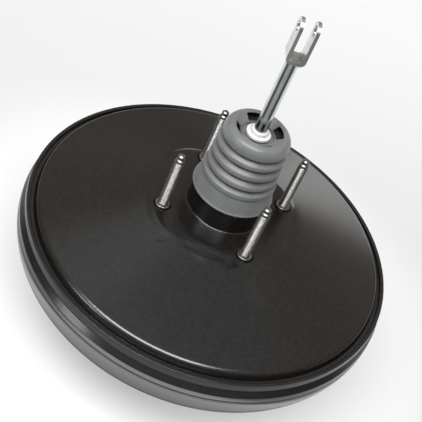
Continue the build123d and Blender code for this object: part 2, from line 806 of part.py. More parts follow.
def make_diaphragm():
    """Rubber diaphragm over the dish: inner bead, rolling fold and the outer bead between the shells."""
    leg_out = roll_out_r - DIAPHRAGM_WALL
    leg_in = roll_in_r - DIAPHRAGM_WALL
    fold_in_r = (leg_out - roll_in_r) / 2
    fold_out_r = fold_in_r + DIAPHRAGM_WALL
    dish_edge = dish_top - dish_drop(dish_r)
    bead_top = flange_z - SHELL_WALL - SEAT / 2
    bead_out_r = flange_r - BEAD_INSET
    corner = tan(radians(22.5))
    return turned([
        (leg_out, roll_z),
        (leg_out, bead_top),
        (bead_out_r, bead_top),
        (bead_out_r, bead_top - BEAD_THICK / 2),
        (roll_out_r, bead_top - BEAD_THICK),
        (roll_out_r, roll_z - fold_out_r * corner),
        (roll_out_r - fold_out_r * (1 - corner), roll_z - fold_out_r),
        (leg_in + fold_out_r * (1 - corner), roll_z - fold_out_r),
        (leg_in, roll_z - fold_out_r * corner),
        (leg_in, dish_edge),
        (dish_r, dish_edge),
        (DISH_FLAT_R, dish_top),
        (HUB_R + FIT, dish_top),
        (HUB_R + FIT, DIAPHRAGM_TOP + DIAPHRAGM_WALL),
        (HUB_R + INNER_BEAD, DIAPHRAGM_TOP + DIAPHRAGM_WALL),
        (HUB_R + 1.2 * INNER_BEAD, DIAPHRAGM_TOP),
        (DISH_FLAT_R, DIAPHRAGM_TOP),
        (roll_in_r, DIAPHRAGM_TOP - dish_drop(roll_in_r)),
        (roll_in_r, roll_z - fold_in_r * corner),
        (roll_in_r + fold_in_r * (1 - corner), roll_z - fold_in_r),
        (leg_out - fold_in_r * (1 - corner), roll_z - fold_in_r),
        (leg_out, roll_z - fold_in_r * corner),
    ])


def make_reaction_disc():
    """Rubber disc between the plunger and the output rod."""
    return turned([
        (0, reaction_bottom),
        (RECESS_R - FIT, reaction_bottom),
        (RECESS_R - FIT, reaction_top - 0.5),
        (RECESS_R - FIT - 0.5, reaction_top),
        (0, reaction_top),
    ])


def make_output_rod():
    """Output rod towards the master cylinder: round head and a shank tapped for its screw."""
    return turned([
        (0, output_head_top),
        (RECESS_R - FIT, output_head_top),
        (RECESS_R - FIT, output_head_top - OUTPUT_HEAD + 0.6),
        (RECESS_R - FIT - 0.6, output_head_top - OUTPUT_HEAD),
        (OUTPUT_R, output_head_top - OUTPUT_HEAD),
        (OUTPUT_R, output_end + 1),
        (OUTPUT_R - 1, output_end),
        (SCREW_R + FIT, output_end),
        (SCREW_R + FIT, output_end + SCREW_DEPTH),
        (0, output_end + SCREW_DEPTH),
    ])


def make_output_screw():
    """Adjusting screw in the end of the output rod, with a hexagon head."""
    with BuildPart() as piece:
        with BuildSketch(Plane.XY.offset(output_end - SCREW_HEAD)):
            RegularPolygon(SCREW_HEAD_R, 6)
        extrude(amount=SCREW_HEAD)
        with BuildSketch(Plane.XY.offset(output_end)):
            Circle(SCREW_R)
        extrude(amount=SCREW_DEPTH - 1)
        chamfer(piece.edges().group_by(Axis.Z)[0], SCREW_HEAD / 6)
    return piece


def make_output_retainer():
    """Pressed cap under the valve body: keeps the output rod and seats the return spring."""
    with BuildPart() as piece:
        with BuildSketch(Plane.XZ):
            with BuildLine():
                Polyline(
                    (OUTPUT_R + 1, cap_top),
                    (CAP_R, cap_top),
                    (CAP_R, cap_top - 2.5),
                    (CAP_R - RETAINER_WALL, cap_top - 2.5),
                    (CAP_R - RETAINER_WALL, cap_top - RETAINER_WALL),
                    (OUTPUT_R + 1, cap_top - RETAINER_WALL),
                    close=True,
                )
            make_face()
        revolve(axis=Axis.Z)
        with BuildSketch(Plane.XY.offset(cap_top - RETAINER_WALL)):
            with PolarLocations((SEAT_OUT_R + CHAMBER_R) / 2, 4, start_angle=45):
                Circle(PORT_R + 1)
        extrude(amount=RETAINER_WALL, mode=Mode.SUBTRACT)
    return piece


def make_return_spring():
    """Return spring between the front seal's retainer and the cap under the valve body."""
    top = cap_top - RETAINER_WALL - SEAT / 2
    return coil(RETURN_COIL_R, RETURN_WIRE_R, front_plate_top + SEAT / 2, top, RETURN_TURNS)


# ---------------------------------------------------------------- control valve
def make_poppet():
    """Rubber poppet: face over both seats, sleeve, and the bead under its retainer."""
    r_out = CHAMBER_R - FIT
    return turned([
        (POPPET_IN_R, poppet_bottom),
        (SEAT_OUT_R + 1.2, poppet_bottom),
        (SEAT_OUT_R + 1.2, poppet_face + 2),
        (SEAT_OUT_R + 0.6, POPPET_TOP - 4),
        (r_out, POPPET_TOP - 2.5),
        (r_out, POPPET_TOP),
        (SEAT_OUT_R - 1, POPPET_TOP),
        (SEAT_OUT_R - 1, POPPET_TOP - 4),
        (SEAT_OUT_R - 0.4, poppet_face + 2),
        (SEAT_OUT_R - 0.4, poppet_face),
        (POPPET_IN_R, poppet_face),
    ])


def make_poppet_spring():
    """Spring inside the poppet's sleeve."""
    bottom = poppet_face + SEAT / 2
    return coil(POPPET_COIL_R, POPPET_WIRE_R, bottom, POPPET_TOP - SEAT / 2, SMALL_TURNS)


def make_poppet_retainer():
    """Pressed ring that holds the poppet in the valve body and seats both small springs."""
    r_out = CHAMBER_R - FIT
    return turned([
        (ROD_COIL_R - ROD_WIRE_R - 0.6, POPPET_TOP),
        (r_out, POPPET_TOP),
        (r_out, POPPET_TOP + 3),
        (r_out - RETAINER_WALL, POPPET_TOP + 3),
        (r_out - RETAINER_WALL, POPPET_TOP + RETAINER_WALL),
        (ROD_COIL_R - ROD_WIRE_R - 0.6, POPPET_TOP + RETAINER_WALL),
    ])


def make_plunger():
    """Steel plunger: tip in the valve body's bore, key groove, and a cup swaged over the rod's ball."""
    socket_r = BALL_R + FIT
    mouth_r = sqrt(socket_r**2 - PLUNGER_MOUTH**2)
    cup_bottom = BALL_Z - socket_r - PLUNGER_CUP_FLOOR
    shaft_r = BORE_R - SLIDE
    with BuildPart() as piece:
        with BuildSketch(Plane.XZ):
            with BuildLine():
                Polyline(
                    (0, BALL_Z - socket_r),
                    (0, reaction_top + PLUNGER_TRAVEL),
                    (shaft_r - 0.5, reaction_top + PLUNGER_TRAVEL),
                    (shaft_r, reaction_top + PLUNGER_TRAVEL + 0.5),
                    (shaft_r, key_bottom - SEAT),
                    (PLUNGER_GROOVE_R, key_bottom - SEAT),
                    (PLUNGER_GROOVE_R, KEY_TOP + PLUNGER_TRAVEL + SEAT),
                    (shaft_r, KEY_TOP + PLUNGER_TRAVEL + SEAT),
                    (shaft_r, cup_bottom),
                    (PLUNGER_CUP_R - 1, cup_bottom),
                    (PLUNGER_CUP_R, cup_bottom + 1),
                    (PLUNGER_CUP_R, cup_top),
                    (mouth_r + 1.4, cup_top),
                    (mouth_r, BALL_Z + PLUNGER_MOUTH),
                )
                ThreePointArc(
                    (mouth_r, BALL_Z + PLUNGER_MOUTH),
                    (socket_r, BALL_Z),
                    (0, BALL_Z - socket_r),
                )
            make_face()
        revolve(axis=Axis.Z)
    return piece


def make_input_rod():
    """Input rod: ball, neck, shank with the collar's swaged bead, and the spigot riveted in the clevis."""
    floor_top = CLEVIS_BOTTOM + CLEVIS_WALL
    ball_end = BALL_Z + sqrt(BALL_R**2 - ROD_NECK_R**2)
    with BuildPart() as piece:
        with BuildSketch(Plane.XZ):
            with BuildLine():
                ThreePointArc(
                    (0, BALL_Z - BALL_R),
                    (BALL_R, BALL_Z),
                    (ROD_NECK_R, ball_end),
                )
                Polyline(
                    (ROD_NECK_R, ball_end),
                    (ROD_NECK_R, ROD_NECK_TOP),
                    (ROD_R, ROD_NECK_TOP + 2),
                    (ROD_R, collar_top + FIT),
                    (ROD_R + SWAGE, collar_top + SWAGE / 2),
                    (ROD_R + SWAGE, collar_top + SWAGE),
                    (ROD_R, collar_top + 2 * SWAGE),
                    (ROD_R, CLEVIS_BOTTOM),
                    (SPIGOT_R, CLEVIS_BOTTOM),
                    (SPIGOT_R, floor_top - SPIGOT_FLARE),
                    (SPIGOT_R + SPIGOT_FLARE, floor_top),
                    (0, floor_top),
                    (0, BALL_Z - BALL_R),
                )
            make_face()
        revolve(axis=Axis.Z)
    return piece


def make_input_spring():
    """Spring that holds the input rod back against the key."""
    bottom = POPPET_TOP + RETAINER_WALL + SEAT / 2
    return coil(ROD_COIL_R, ROD_WIRE_R, bottom, COLLAR_Z - SEAT / 2, SMALL_TURNS)


def make_spring_collar():
    """Steel collar on the input rod, under its spring and against the swaged bead."""
    return ring(ROD_R + FIT, COLLAR_R, COLLAR_Z, collar_top)


def make_clevis():
    """Clevis bent from strip: rounded ears with the pin hole, and a countersunk floor for the rod."""
    ear_x = (CLEVIS_GAP + CLEVIS_WALL) / 2
    floor_z = CLEVIS_BOTTOM + CLEVIS_WALL / 2
    tip = CLEVIS_PIN_Z + CLEVIS_WIDTH / 2
    with BuildPart() as piece:
        with BuildSketch(Plane.XZ):
            with BuildLine():
                FilletPolyline(
                    (ear_x, tip),
                    (ear_x, floor_z),
                    (-ear_x, floor_z),
                    (-ear_x, tip),
                    radius=CLEVIS_BEND - CLEVIS_WALL / 2,
                )
            trace(line_width=CLEVIS_WALL)
        extrude(amount=CLEVIS_WIDTH / 2, both=True)
        with BuildSketch(Plane.YZ):
            with Locations((0, CLEVIS_PIN_Z)):
                Circle(CLEVIS_WIDTH / 2)
            with Locations((0, (CLEVIS_BOTTOM + CLEVIS_PIN_Z) / 2)):
                Rectangle(CLEVIS_WIDTH, CLEVIS_PIN_Z - CLEVIS_BOTTOM)
        extrude(amount=CLEVIS_GAP, both=True, mode=Mode.INTERSECT)
        with BuildSketch(Plane.YZ):
            with Locations((0, CLEVIS_PIN_Z)):
                Circle(CLEVIS_PIN_R)
        extrude(amount=CLEVIS_GAP, both=True, mode=Mode.SUBTRACT)
        with Locations((0, 0, CLEVIS_BOTTOM + CLEVIS_WALL)):
            CounterSinkHole(
                radius=SPIGOT_R + FIT,
                counter_sink_radius=SPIGOT_R + SPIGOT_FLARE + FIT,
                depth=2 * CLEVIS_WALL,
                counter_sink_angle=90,
            )
    return piece


# ---------------------------------------------------------------- boot, bush and air filter
def boot_outline():
    """Outside of the boot as (radius, height) points, from the skirt's rim up to the hole round the bush."""
    points = [
        (SKIRT_R, SKIRT_BOTTOM),
        (SKIRT_TOP_R, SKIRT_TOP),
        (LIP_R, SKIRT_TOP + BOOT_WALL),
        (LIP_R, LIP_Z),
    ]
    low_z = LIP_Z
    for step in range(RIDGE_COUNT + 1):
        ridge_z = RIDGE_Z + step * RIDGE_PITCH
        groove_z = (low_z + ridge_z) / 2
        points.append((GROOVE_R - step * RIDGE_SHRINK, groove_z - BOOT_FLAT))
        points.append((GROOVE_R - step * RIDGE_SHRINK, groove_z + BOOT_FLAT))
        if step < RIDGE_COUNT:
            points.append((RIDGE_R - step * RIDGE_SHRINK, ridge_z - BOOT_FLAT))
            points.append((RIDGE_R - step * RIDGE_SHRINK, ridge_z + BOOT_FLAT))
        low_z = ridge_z
    points.append((DOME_R, DOME_Z - 1.2 * BOOT_FLAT))
    points.append((DOME_R, DOME_Z + 0.9 * BOOT_FLAT))
    points.append((CREST_R + CREST_WIDTH / 2, CREST_Z - CREST_WIDTH / 7))
    points.append((CREST_R, CREST_Z))
    points.append((CREST_R - CREST_WIDTH / 2, CREST_Z - CREST_WIDTH / 5))
    points.append((FUNNEL_STEP_R, FUNNEL_FOOT + FUNNEL_STEP))
    points.append((FUNNEL_FOOT_R, FUNNEL_FOOT))
    points.append((BOOT_HOLE_R, FUNNEL_FOOT))
    return points


def make_boot():
    """Rubber boot: skirt over the neck, convolutions, and a dome whose funnel has the air windows."""
    with BuildPart() as piece:
        with BuildSketch(Plane.XZ):
            with BuildLine():
                Polyline(*boot_outline())
                offset(amount=BOOT_WALL, side=Side.LEFT, kind=Kind.INTERSECTION)
            make_face()
        revolve(axis=Axis.Z)
        with BuildSketch(Plane.XY.offset(FUNNEL_FOOT - 2 * BOOT_WALL)):
            for step in range(WINDOW_COUNT):
                start = WINDOW_ANGLE + step * 360 / WINDOW_COUNT - WINDOW_SPAN / 2
                with BuildLine():
                    outer = CenterArc((0, 0), WINDOW_OUT_R, start, WINDOW_SPAN)
                    inner = CenterArc((0, 0), WINDOW_IN_R, start, WINDOW_SPAN)
                    Line(outer @ 0, inner @ 0)
                    Line(outer @ 1, inner @ 1)
                make_face()
        extrude(amount=CREST_Z - FUNNEL_FOOT + 2 * BOOT_WALL, mode=Mode.SUBTRACT)
    return piece


def make_rod_bush():
    """Moulded bush on the input rod: its foot under the boot, and the ring above it."""
    foot_top = FUNNEL_FOOT - BOOT_WALL - BUSH_PLAY
    ring_bottom = BUSH_RING_TOP - BUSH_RING
    rim = BUSH_RING_R - 1.6
    return turned([
        (ROD_R + FIT, foot_top - BUSH_FOOT),
        (BUSH_FOOT_R, foot_top - BUSH_FOOT),
        (BUSH_FOOT_R, foot_top),
        (BUSH_NECK_R, foot_top),
        (BUSH_NECK_R, ring_bottom),
        (BUSH_RING_R, ring_bottom),
        (BUSH_RING_R, BUSH_RING_TOP - 0.4),
        (BUSH_RING_R - 0.4, BUSH_RING_TOP),
        (rim, BUSH_RING_TOP),
        (rim, BUSH_RING_TOP - 0.7),
        (BUSH_COLLAR_R, BUSH_RING_TOP - 0.7),
        (BUSH_COLLAR_R, BUSH_COLLAR_TOP - 0.3),
        (BUSH_COLLAR_R - 0.3, BUSH_COLLAR_TOP),
        (ROD_R + FIT, BUSH_COLLAR_TOP),
    ])


def make_air_filter():
    """Felt air filter round the rod, in the valve body."""
    return ring(FILTER_IN_R, CHAMBER_R - 2 * FIT, FILTER_BOTTOM, FILTER_TOP)


def make_silencer():
    """Foam silencer over the air filter."""
    return ring(FILTER_IN_R + 0.4, CHAMBER_R - 2 * FIT, FILTER_TOP, SILENCER_TOP)


if __name__ == "__main__":
    os.makedirs("parts", exist_ok=True)
    rear_stud = stud_outline(rear_plate_top, STUD_COLLAR, STUD_LENGTH, rear_plate_bottom - STUD_HEAD)
    mc_stud = stud_outline(
        -front_inside, FRONT_DROP + STUD_COLLAR, FRONT_DROP + MC_STUD_LENGTH, -front_plate_top - STUD_HEAD
    )
    write(make_rear_shell(), "rear_shell")
    write(make_front_shell(), "front_shell")
    write(make_rear_plate(), "rear_plate")
    write(make_front_plate(), "front_plate")
    write(make_studs(STUD_OFFSET, 4, STUD_ANGLE, rear_stud, False), "rear_studs")
    write(make_studs(MC_STUD_OFFSET, 2, 0, mc_stud, True), "master_cylinder_studs")
    write(make_rear_seal(), "rear_seal")
    write(make_guide_bearing(), "guide_bearing")
    write(make_bearing_retainer(), "bearing_retainer")
    write(make_front_seal(), "front_seal")
    write(make_front_seal_retainer(), "front_seal_retainer")
    write(make_grommet(), "check_valve_grommet")
    write(make_check_valve_body(), "check_valve_body")
    write(make_check_valve_disc(), "check_valve_disc")
    write(make_check_valve_spring(), "check_valve_spring")
    write(make_valve_body(), "valve_body")
    write(make_retaining_key(), "retaining_key")
    write(make_diaphragm_plate(), "diaphragm_plate")
    write(make_diaphragm(), "diaphragm")
    write(make_reaction_disc(), "reaction_disc")
    write(make_output_rod(), "output_rod")
    write(make_output_screw(), "output_rod_screw")
    write(make_output_retainer(), "output_rod_retainer")
    write(make_return_spring(), "return_spring")
    write(make_poppet(), "poppet_valve")
    write(make_poppet_spring(), "poppet_spring")
    write(make_poppet_retainer(), "poppet_retainer")
    write(make_plunger(), "plunger")
    write(make_input_rod(), "input_rod")
    write(make_input_spring(), "input_rod_spring")
    write(make_spring_collar(), "spring_collar")
    write(make_clevis(), "clevis")
    write(make_boot(), "boot")
    write(make_rod_bush(), "rod_bush")
    write(make_air_filter(), "air_filter")
    write(make_silencer(), "silencer")
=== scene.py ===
"""Looks of a vacuum brake booster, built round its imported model.

Metres, +Z along the booster's axis towards the pedal, origin at the centre of the firewall pad's face.
"""
import json
from math import cos, pi, radians, sin, tau

import bpy
import numpy as np
from mathutils import Matrix, Vector
from numpy.linalg import norm


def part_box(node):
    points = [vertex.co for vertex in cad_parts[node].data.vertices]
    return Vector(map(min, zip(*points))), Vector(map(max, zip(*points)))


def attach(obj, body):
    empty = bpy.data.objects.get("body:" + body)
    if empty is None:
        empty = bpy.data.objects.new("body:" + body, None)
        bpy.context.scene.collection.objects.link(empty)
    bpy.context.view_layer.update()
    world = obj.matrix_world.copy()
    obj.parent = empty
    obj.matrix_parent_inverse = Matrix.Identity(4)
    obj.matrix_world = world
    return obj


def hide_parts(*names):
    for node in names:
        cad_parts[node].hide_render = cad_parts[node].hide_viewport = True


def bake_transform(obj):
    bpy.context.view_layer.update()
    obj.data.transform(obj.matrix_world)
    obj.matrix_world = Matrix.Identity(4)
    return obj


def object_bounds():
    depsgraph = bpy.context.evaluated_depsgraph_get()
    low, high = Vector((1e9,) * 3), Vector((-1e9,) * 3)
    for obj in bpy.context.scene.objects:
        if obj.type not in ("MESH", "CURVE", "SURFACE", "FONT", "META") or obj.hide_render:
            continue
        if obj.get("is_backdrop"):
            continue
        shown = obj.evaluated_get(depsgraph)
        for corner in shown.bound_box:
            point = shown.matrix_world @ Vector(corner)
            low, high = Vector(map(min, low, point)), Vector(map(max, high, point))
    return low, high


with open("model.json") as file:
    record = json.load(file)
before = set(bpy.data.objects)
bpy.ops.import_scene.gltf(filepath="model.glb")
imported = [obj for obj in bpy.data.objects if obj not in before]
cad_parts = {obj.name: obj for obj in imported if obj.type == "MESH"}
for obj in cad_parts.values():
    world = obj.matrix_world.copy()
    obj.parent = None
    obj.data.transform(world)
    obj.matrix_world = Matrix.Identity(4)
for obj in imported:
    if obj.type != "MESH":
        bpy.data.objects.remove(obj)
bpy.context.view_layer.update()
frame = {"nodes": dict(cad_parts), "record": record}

bl_info = {
    "name": "Brake booster",
    "version": (1, 0, 0),
    "blender": (4, 5, 0),
    "location": "View3D > Sidebar > Booster",
    "description": "Dresses a vacuum brake booster: shells, boot, studs, springs, finishes and studio",
    "category": "Object",
}

MM = 0.001
NODES = frame["nodes"]


def reach(node):
    """Largest distance of a node from the booster's axis, in metres."""
    low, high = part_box(node)
    return max(high.x, high.y, -low.x, -low.y)


def low_z(node):
    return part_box(node)[0].z


def high_z(node):
    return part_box(node)[1].z


# -------- sizes and colours that a user would change
def length(name, text, default):
    """A length property in metres."""
    return bpy.props.FloatProperty(
        name=name, description=text, default=default, min=0.0, precision=4, unit="LENGTH"
    )


def share(name, text, default):
    """A property between 0 and 1."""
    return bpy.props.FloatProperty(
        name=name, description=text, default=default, min=0.0, max=1.0, subtype="FACTOR"
    )


def colour(name, text, default):
    """A linear colour property."""
    return bpy.props.FloatVectorProperty(
        name=name, description=text, default=default, min=0.0, max=1.0, subtype="COLOR"
    )


def number(name, text, default, low=0.0):
    """A plain number property."""
    return bpy.props.FloatProperty(name=name, description=text, default=default, min=low)


class ShellProps(bpy.types.PropertyGroup):
    wall: length("Wall", "Thickness of the pressed steel", 1.8 * MM)
    pad_half: length("Pad half width", "Half the width of the raised square round the neck", 54.5 * MM)
    pad_corner: length("Pad corner", "Corner radius of the raised square", 28 * MM)
    pad_height: length("Pad height", "Height of the raised square above the flat", 1.2 * MM)
    stud_hole: length("Stud hole", "Radius of the hole round each stud's collar", 6.9 * MM)
    paint: colour("Paint", "Stoved black paint", (0.0048, 0.0044, 0.0041))
    paint_roughness: share("Paint roughness", "Roughness of the paint on the large faces", 0.23)


class BootProps(bpy.types.PropertyGroup):
    wall: length("Wall", "Thickness of the rubber", 1.4 * MM)
    window_span: bpy.props.FloatProperty(
        name="Window span", description="Angle of each air window", default=radians(46), subtype="ANGLE"
    )
    rubber: colour("Rubber", "Grey moulded rubber", (0.132, 0.138, 0.141))
    # groove: colour of the painted shade in the grooves, and of the grain's dark flecks
    groove: colour("Groove", "Rubber in the grooves", (0.045, 0.048, 0.050))


class StudProps(bpy.types.PropertyGroup):
    pitch: length("Pitch", "Pitch of the rolled thread", 1.25 * MM)
    depth: length("Depth", "Depth of the rolled thread", 0.62 * MM)
    zinc: colour("Zinc", "Bright zinc plate", (0.38, 0.377, 0.37))


class SpringProps(bpy.types.PropertyGroup):
    return_turns: number("Return turns", "Turns of the return spring", 5.5, 1.0)
    small_turns: number("Small turns", "Turns of the small springs", 4.5, 1.0)


class StageProps(bpy.types.PropertyGroup):
    floor: colour("Floor", "Pale floor", (0.49, 0.492, 0.497))
    glow: share("Floor glow", "Even radiance of the floor, which keeps its shadows pale", 0.18)
    horizon: share("Horizon", "Radiance of the surround near the horizon", 0.10)
    sky: share("Surround", "Radiance of the surround at half height", 0.33)
    zenith: share("Zenith", "Radiance that the surround gains overhead", 0.04)
    key: number("Key", "Radiance of the large key panel", 13.0)
    side: number("Side", "Radiance of the small low side panel", 5.0)
    window: number("Window", "Radiance of the low panel behind", 1.75)
    overhead: number("Overhead", "Radiance of the high panel", 0.38)
    table: number("Table", "Radiance of the lit table under it", 2.3)


# -------- meshes
def rounded(points, radii, steps=6):
    """Closed outline with each corner replaced by an arc.

    For a corner of half angle h between unit vectors u and v towards its neighbours, the arc of radius r
    starts r / tan(h) along u, ends as far along v, and its centre lies r / sin(h) along the bisector. Its
    points are the spherical mean of the two end directions from there. r is cut where an edge is too short.
    """
    p = np.asarray(points, float)
    r = np.broadcast_to(np.asarray(radii, float), (len(p),))
    a = np.roll(p, 1, 0) - p
    b = np.roll(p, -1, 0) - p
    la = norm(a, axis=1)
    lb = norm(b, axis=1)
    u = a / la[:, None]
    v = b / lb[:, None]
    half = np.arccos(np.clip((u * v).sum(1), -1, 1)) / 2
    half = np.clip(half, 0.02, pi / 2 - 1e-4)
    r = np.maximum(np.minimum(r, 0.48 * np.minimum(la, lb) * np.tan(half)), 1e-7)
    middle = u + v
    middle /= np.maximum(norm(middle, axis=1), 1e-9)[:, None]
    centre = p + middle * (r / np.sin(half))[:, None]
    start = (p + u * (r / np.tan(half))[:, None] - centre) / r[:, None]
    end = (p + v * (r / np.tan(half))[:, None] - centre) / r[:, None]
    turn = np.maximum(pi - 2 * half, 1e-4)[:, None]
    s = np.linspace(0, 1, steps)[None, :]
    w0 = np.sin((1 - s) * turn) / np.sin(turn)
    w1 = np.sin(s * turn) / np.sin(turn)
    spoke = w0[..., None] * start[:, None] + w1[..., None] * end[:, None]
    return (centre[:, None] + r[:, None, None] * spoke).reshape(-1, 2)


def open_outline(points, radii, steps, first=0, last=0):
    """Rounded outline without the arcs of so many first and last points, which only lead it on."""
    return rounded(points, radii, steps)[first * steps : (len(points) - last) * steps]


def polar(r, angle, z):
    """Points at a radius, angle and height."""
    return np.stack([r * np.cos(angle), r * np.sin(angle), z], -1)


def arc(x, z, radius, angle):
    """Points (x, z) of an arc about a centre."""
    return np.stack([x + radius * np.cos(angle), z + radius * np.sin(angle)], -1)


def turned(profile, count):
    """Surface of revolution: the profile's (radius, height) at row u, turned to the angle of column v."""
    angle = np.arange(count) * tau / count
    r, z = profile[:, :1], profile[:, 1:]
    return polar(r, angle, z + 0 * angle)


def tube(path, radius, count):
    """Round tube on a path: each point carries a circle in the plane across the path's direction."""
    along = np.gradient(path, axis=0)
    along /= norm(along, axis=1)[:, None]
    across = np.cross(along, [0, 0, 1.0])
    across /= norm(across, axis=1)[:, None]
    up = np.cross(across, along)
    angle = (np.arange(count) * tau / count)[None, :, None]
    return path[:, None] + radius * (np.cos(angle) * across[:, None] + np.sin(angle) * up[:, None])


def quads_of(rows, columns, wrap_rows):
    """Corner indices of the quads between neighbouring points of a grid that closes round its columns."""
    u = np.arange(rows if wrap_rows else rows - 1)[:, None]
    v = np.arange(columns)[None, :]
    u1, v1 = (u + 1) % rows, (v + 1) % columns
    corners = [u * columns + v, u1 * columns + v, u1 * columns + v1, u * columns + v1]
    return np.stack([c + 0 * corners[0] for c in corners], -1).reshape(-1, 4)


def outward(points, quads):
    """The quads, turned over if the closed surface encloses a negative volume."""
    a, b, c, d = (points[quads[:, i]] for i in range(4))
    volume = (a * np.cross(b, c)).sum() + (a * np.cross(c, d)).sum()
    return quads if volume > 0 else quads[:, ::-1]


def closed_caps(rows, columns):
    """Triangles, as quads with a doubled corner, that close both ends of a tube on their first point."""
    v = np.arange(1, columns - 1)
    first = np.stack([0 * v, v, v + 1, v + 1], -1)
    last = (rows - 1) * columns + first[:, ::-1]
    return first, last


def new_object(name, data):
    item = bpy.data.objects.new(name, data)
    bpy.context.scene.collection.objects.link(item)
    return item


def mesh_object(name, points, faces):
    """Object of one closed mesh, smooth but for its sharp edges. Faces have three or four corners each."""
    mesh = bpy.data.meshes.new(name)
    mesh.from_pydata(points.reshape(-1, 3).tolist(), [], faces)
    mesh.validate()
    mesh.polygons.foreach_set("use_smooth", np.ones(len(mesh.polygons), bool))
    mesh.set_sharp_from_angle(angle=radians(38))
    mesh.update()
    return new_object(name, mesh)


def carry(item, name, values):
    """Gives each point of a mesh one number that its material reads."""
    attribute = item.data.attributes.new(name, "FLOAT", "POINT")
    attribute.data.foreach_set("value", values.astype(np.float32))


def closed_surface(name, grid, wrap_rows=True):
    """Object of a grid that closes round its columns, and round its rows or with a cap at each end."""
    rows, columns = grid.shape[:2]
    points = grid.reshape(-1, 3)
    quads = quads_of(rows, columns, wrap_rows)
    faces = outward(points, quads)
    flipped = faces is not quads
    faces = faces.tolist()
    if not wrap_rows:
        for cap in closed_caps(rows, columns):
            order = cap if flipped else cap[:, ::-1]
            faces += [list(dict.fromkeys(corner)) for corner in order.tolist()]
    return mesh_object(name, points, faces)


def dress(item, slot, body=None, replaces=()):
    """Gives a new piece the finish of its slot and its body, and hides the nodes that it stands for."""
    item.data.materials.append(finish(slot))
    if body:
        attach(item, body)
    if replaces:
        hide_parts(*replaces)


# -------- node groups
def new_group(name, inputs, outputs=("Mask",)):
    """An empty shader group: its tree, its wires, what it is given and what it gives out.

    It is given a vector and the numbers in inputs, and it gives out the numbers named in outputs.
    """
    tree = bpy.data.node_groups.new(name, "ShaderNodeTree")

    def socket(label, way, kind="Float"):
        return tree.interface.new_socket(name=label, in_out=way, socket_type="NodeSocket" + kind)

    socket("Vector", "INPUT", "Vector")
    for label, default in inputs.items():
        socket(label, "INPUT").default_value = default
    for label in outputs:
        socket(label, "OUTPUT")
    w = Wires(tree)
    return tree, w, w.add("NodeGroupInput").outputs, w.add("NodeGroupOutput").inputs


class Wires:
    """Short hand for adding nodes to a tree and linking them."""

    def __init__(self, tree, shader=None):
        self.tree = tree
        self.shader = shader

    def add(self, kind, settings=None, **inputs):
        """Adds a node. An input's key is i and its place, or its label with _ for a space."""
        node = self.tree.nodes.new(kind)
        for key, value in (settings or {}).items():
            setattr(node, key, value)
        for key, value in inputs.items():
            self.feed(node.inputs[int(key[1:]) if key[1:].isdigit() else key.replace("_", " ")], value)
        return node

    def feed(self, socket, value):
        if isinstance(value, bpy.types.NodeSocket):
            self.tree.links.new(value, socket)
        else:
            socket.default_value = value

    def shade(self, key, value):
        self.feed(self.shader.inputs[key], value)

    def math(self, operation, a, b=0.0, c=0.0, clamp=False):
        node = self.add("ShaderNodeMath", {"operation": operation, "use_clamp": clamp}, i0=a, i1=b, i2=c)
        return node.outputs[0]

    def plus(self, a, b):
        return self.math("ADD", a, b)

    def minus(self, a, b):
        return self.math("SUBTRACT", a, b)

    def times(self, a, b):
        return self.math("MULTIPLY", a, b)

    def line(self, value, slope, base, clamp=False):
        return self.math("MULTIPLY_ADD", value, slope, base, clamp)

    def vector(self, operation, a, b=(0.0, 0.0, 0.0)):
        return self.add("ShaderNodeVectorMath", {"operation": operation}, i0=a, i1=b).outputs

    def split(self, vector):
        return self.add("ShaderNodeSeparateXYZ", None, Vector=vector).outputs

    def ramp(self, value, low, high, to_low=0.0, to_high=1.0):
        """Value mapped from low..high to to_low..to_high, smoothly and clamped."""
        smooth_step = {"interpolation_type": "SMOOTHSTEP"}
        node = self.add(
            "ShaderNodeMapRange", smooth_step, i0=value, i1=low, i2=high, i3=to_low, i4=to_high
        )
        return node.outputs[0]

    def mix(self, factor, a, b):
        """Colour a where factor is 0 and b where it is 1."""
        node = self.add("ShaderNodeMix", {"data_type": "RGBA"}, i0=factor, i6=a, i7=b)
        return node.outputs[2]

    def noise(self, vector, scale, detail=3.0, roughness=0.5):
        sizes = {"Scale": scale, "Detail": detail, "Roughness": roughness}
        return self.add("ShaderNodeTexNoise", None, Vector=vector, **sizes).outputs[0]

    def bump(self, height, strength, distance):
        node = self.add("ShaderNodeBump", None, Strength=strength, Distance=distance, Height=height)
        return node.outputs[0]


def grain_group():
    """Fine grain: a mask of two noises, one ten times finer, and the same as a height."""
    tree, w, given, out = new_group("Grain", {"Scale": 400.0, "Contrast": 1.0}, ("Mask", "Height"))
    coarse = w.noise(given[0], given[1])
    fine = w.noise(given[0], w.times(given[1], 10.0), 2.0)
    both = w.plus(w.times(coarse, 0.65), w.times(fine, 0.35))
    centred = w.line(w.minus(both, 0.5), given[2], 0.5, clamp=True)
    w.feed(out[0], centred)
    w.feed(out[1], both)
    return tree


def dust_group():
    """Dust: patchy noise that gathers where the surface faces up."""
    tree, w, given, out = new_group("Dust", {"Scale": 30.0, "Amount": 0.3})
    normal = w.add("ShaderNodeNewGeometry").outputs["Normal"]
    up = w.ramp(w.split(normal)[2], 0.0, 0.9)
    patch = w.ramp(w.noise(given[0], given[1], 6.0, 0.65), 0.35, 0.75)
    w.feed(out[0], w.times(w.times(up, patch), given[2]))
    return tree


def scuff_group():
    """Scuffs: thin curved lines where a warped wave peaks, broken up by noise."""
    tree, w, given, out = new_group("Scuffs", {"Scale": 60.0, "Amount": 0.3})
    line = w.noise(given[0], given[1], 1.0)
    near = w.ramp(w.math("ABSOLUTE", w.minus(line, 0.5)), 0.012, 0.0)
    broken = w.ramp(w.noise(given[0], w.times(given[1], 0.37), 4.0), 0.55, 0.7)
    w.feed(out[0], w.times(w.times(near, broken), given[2]))
    return tree


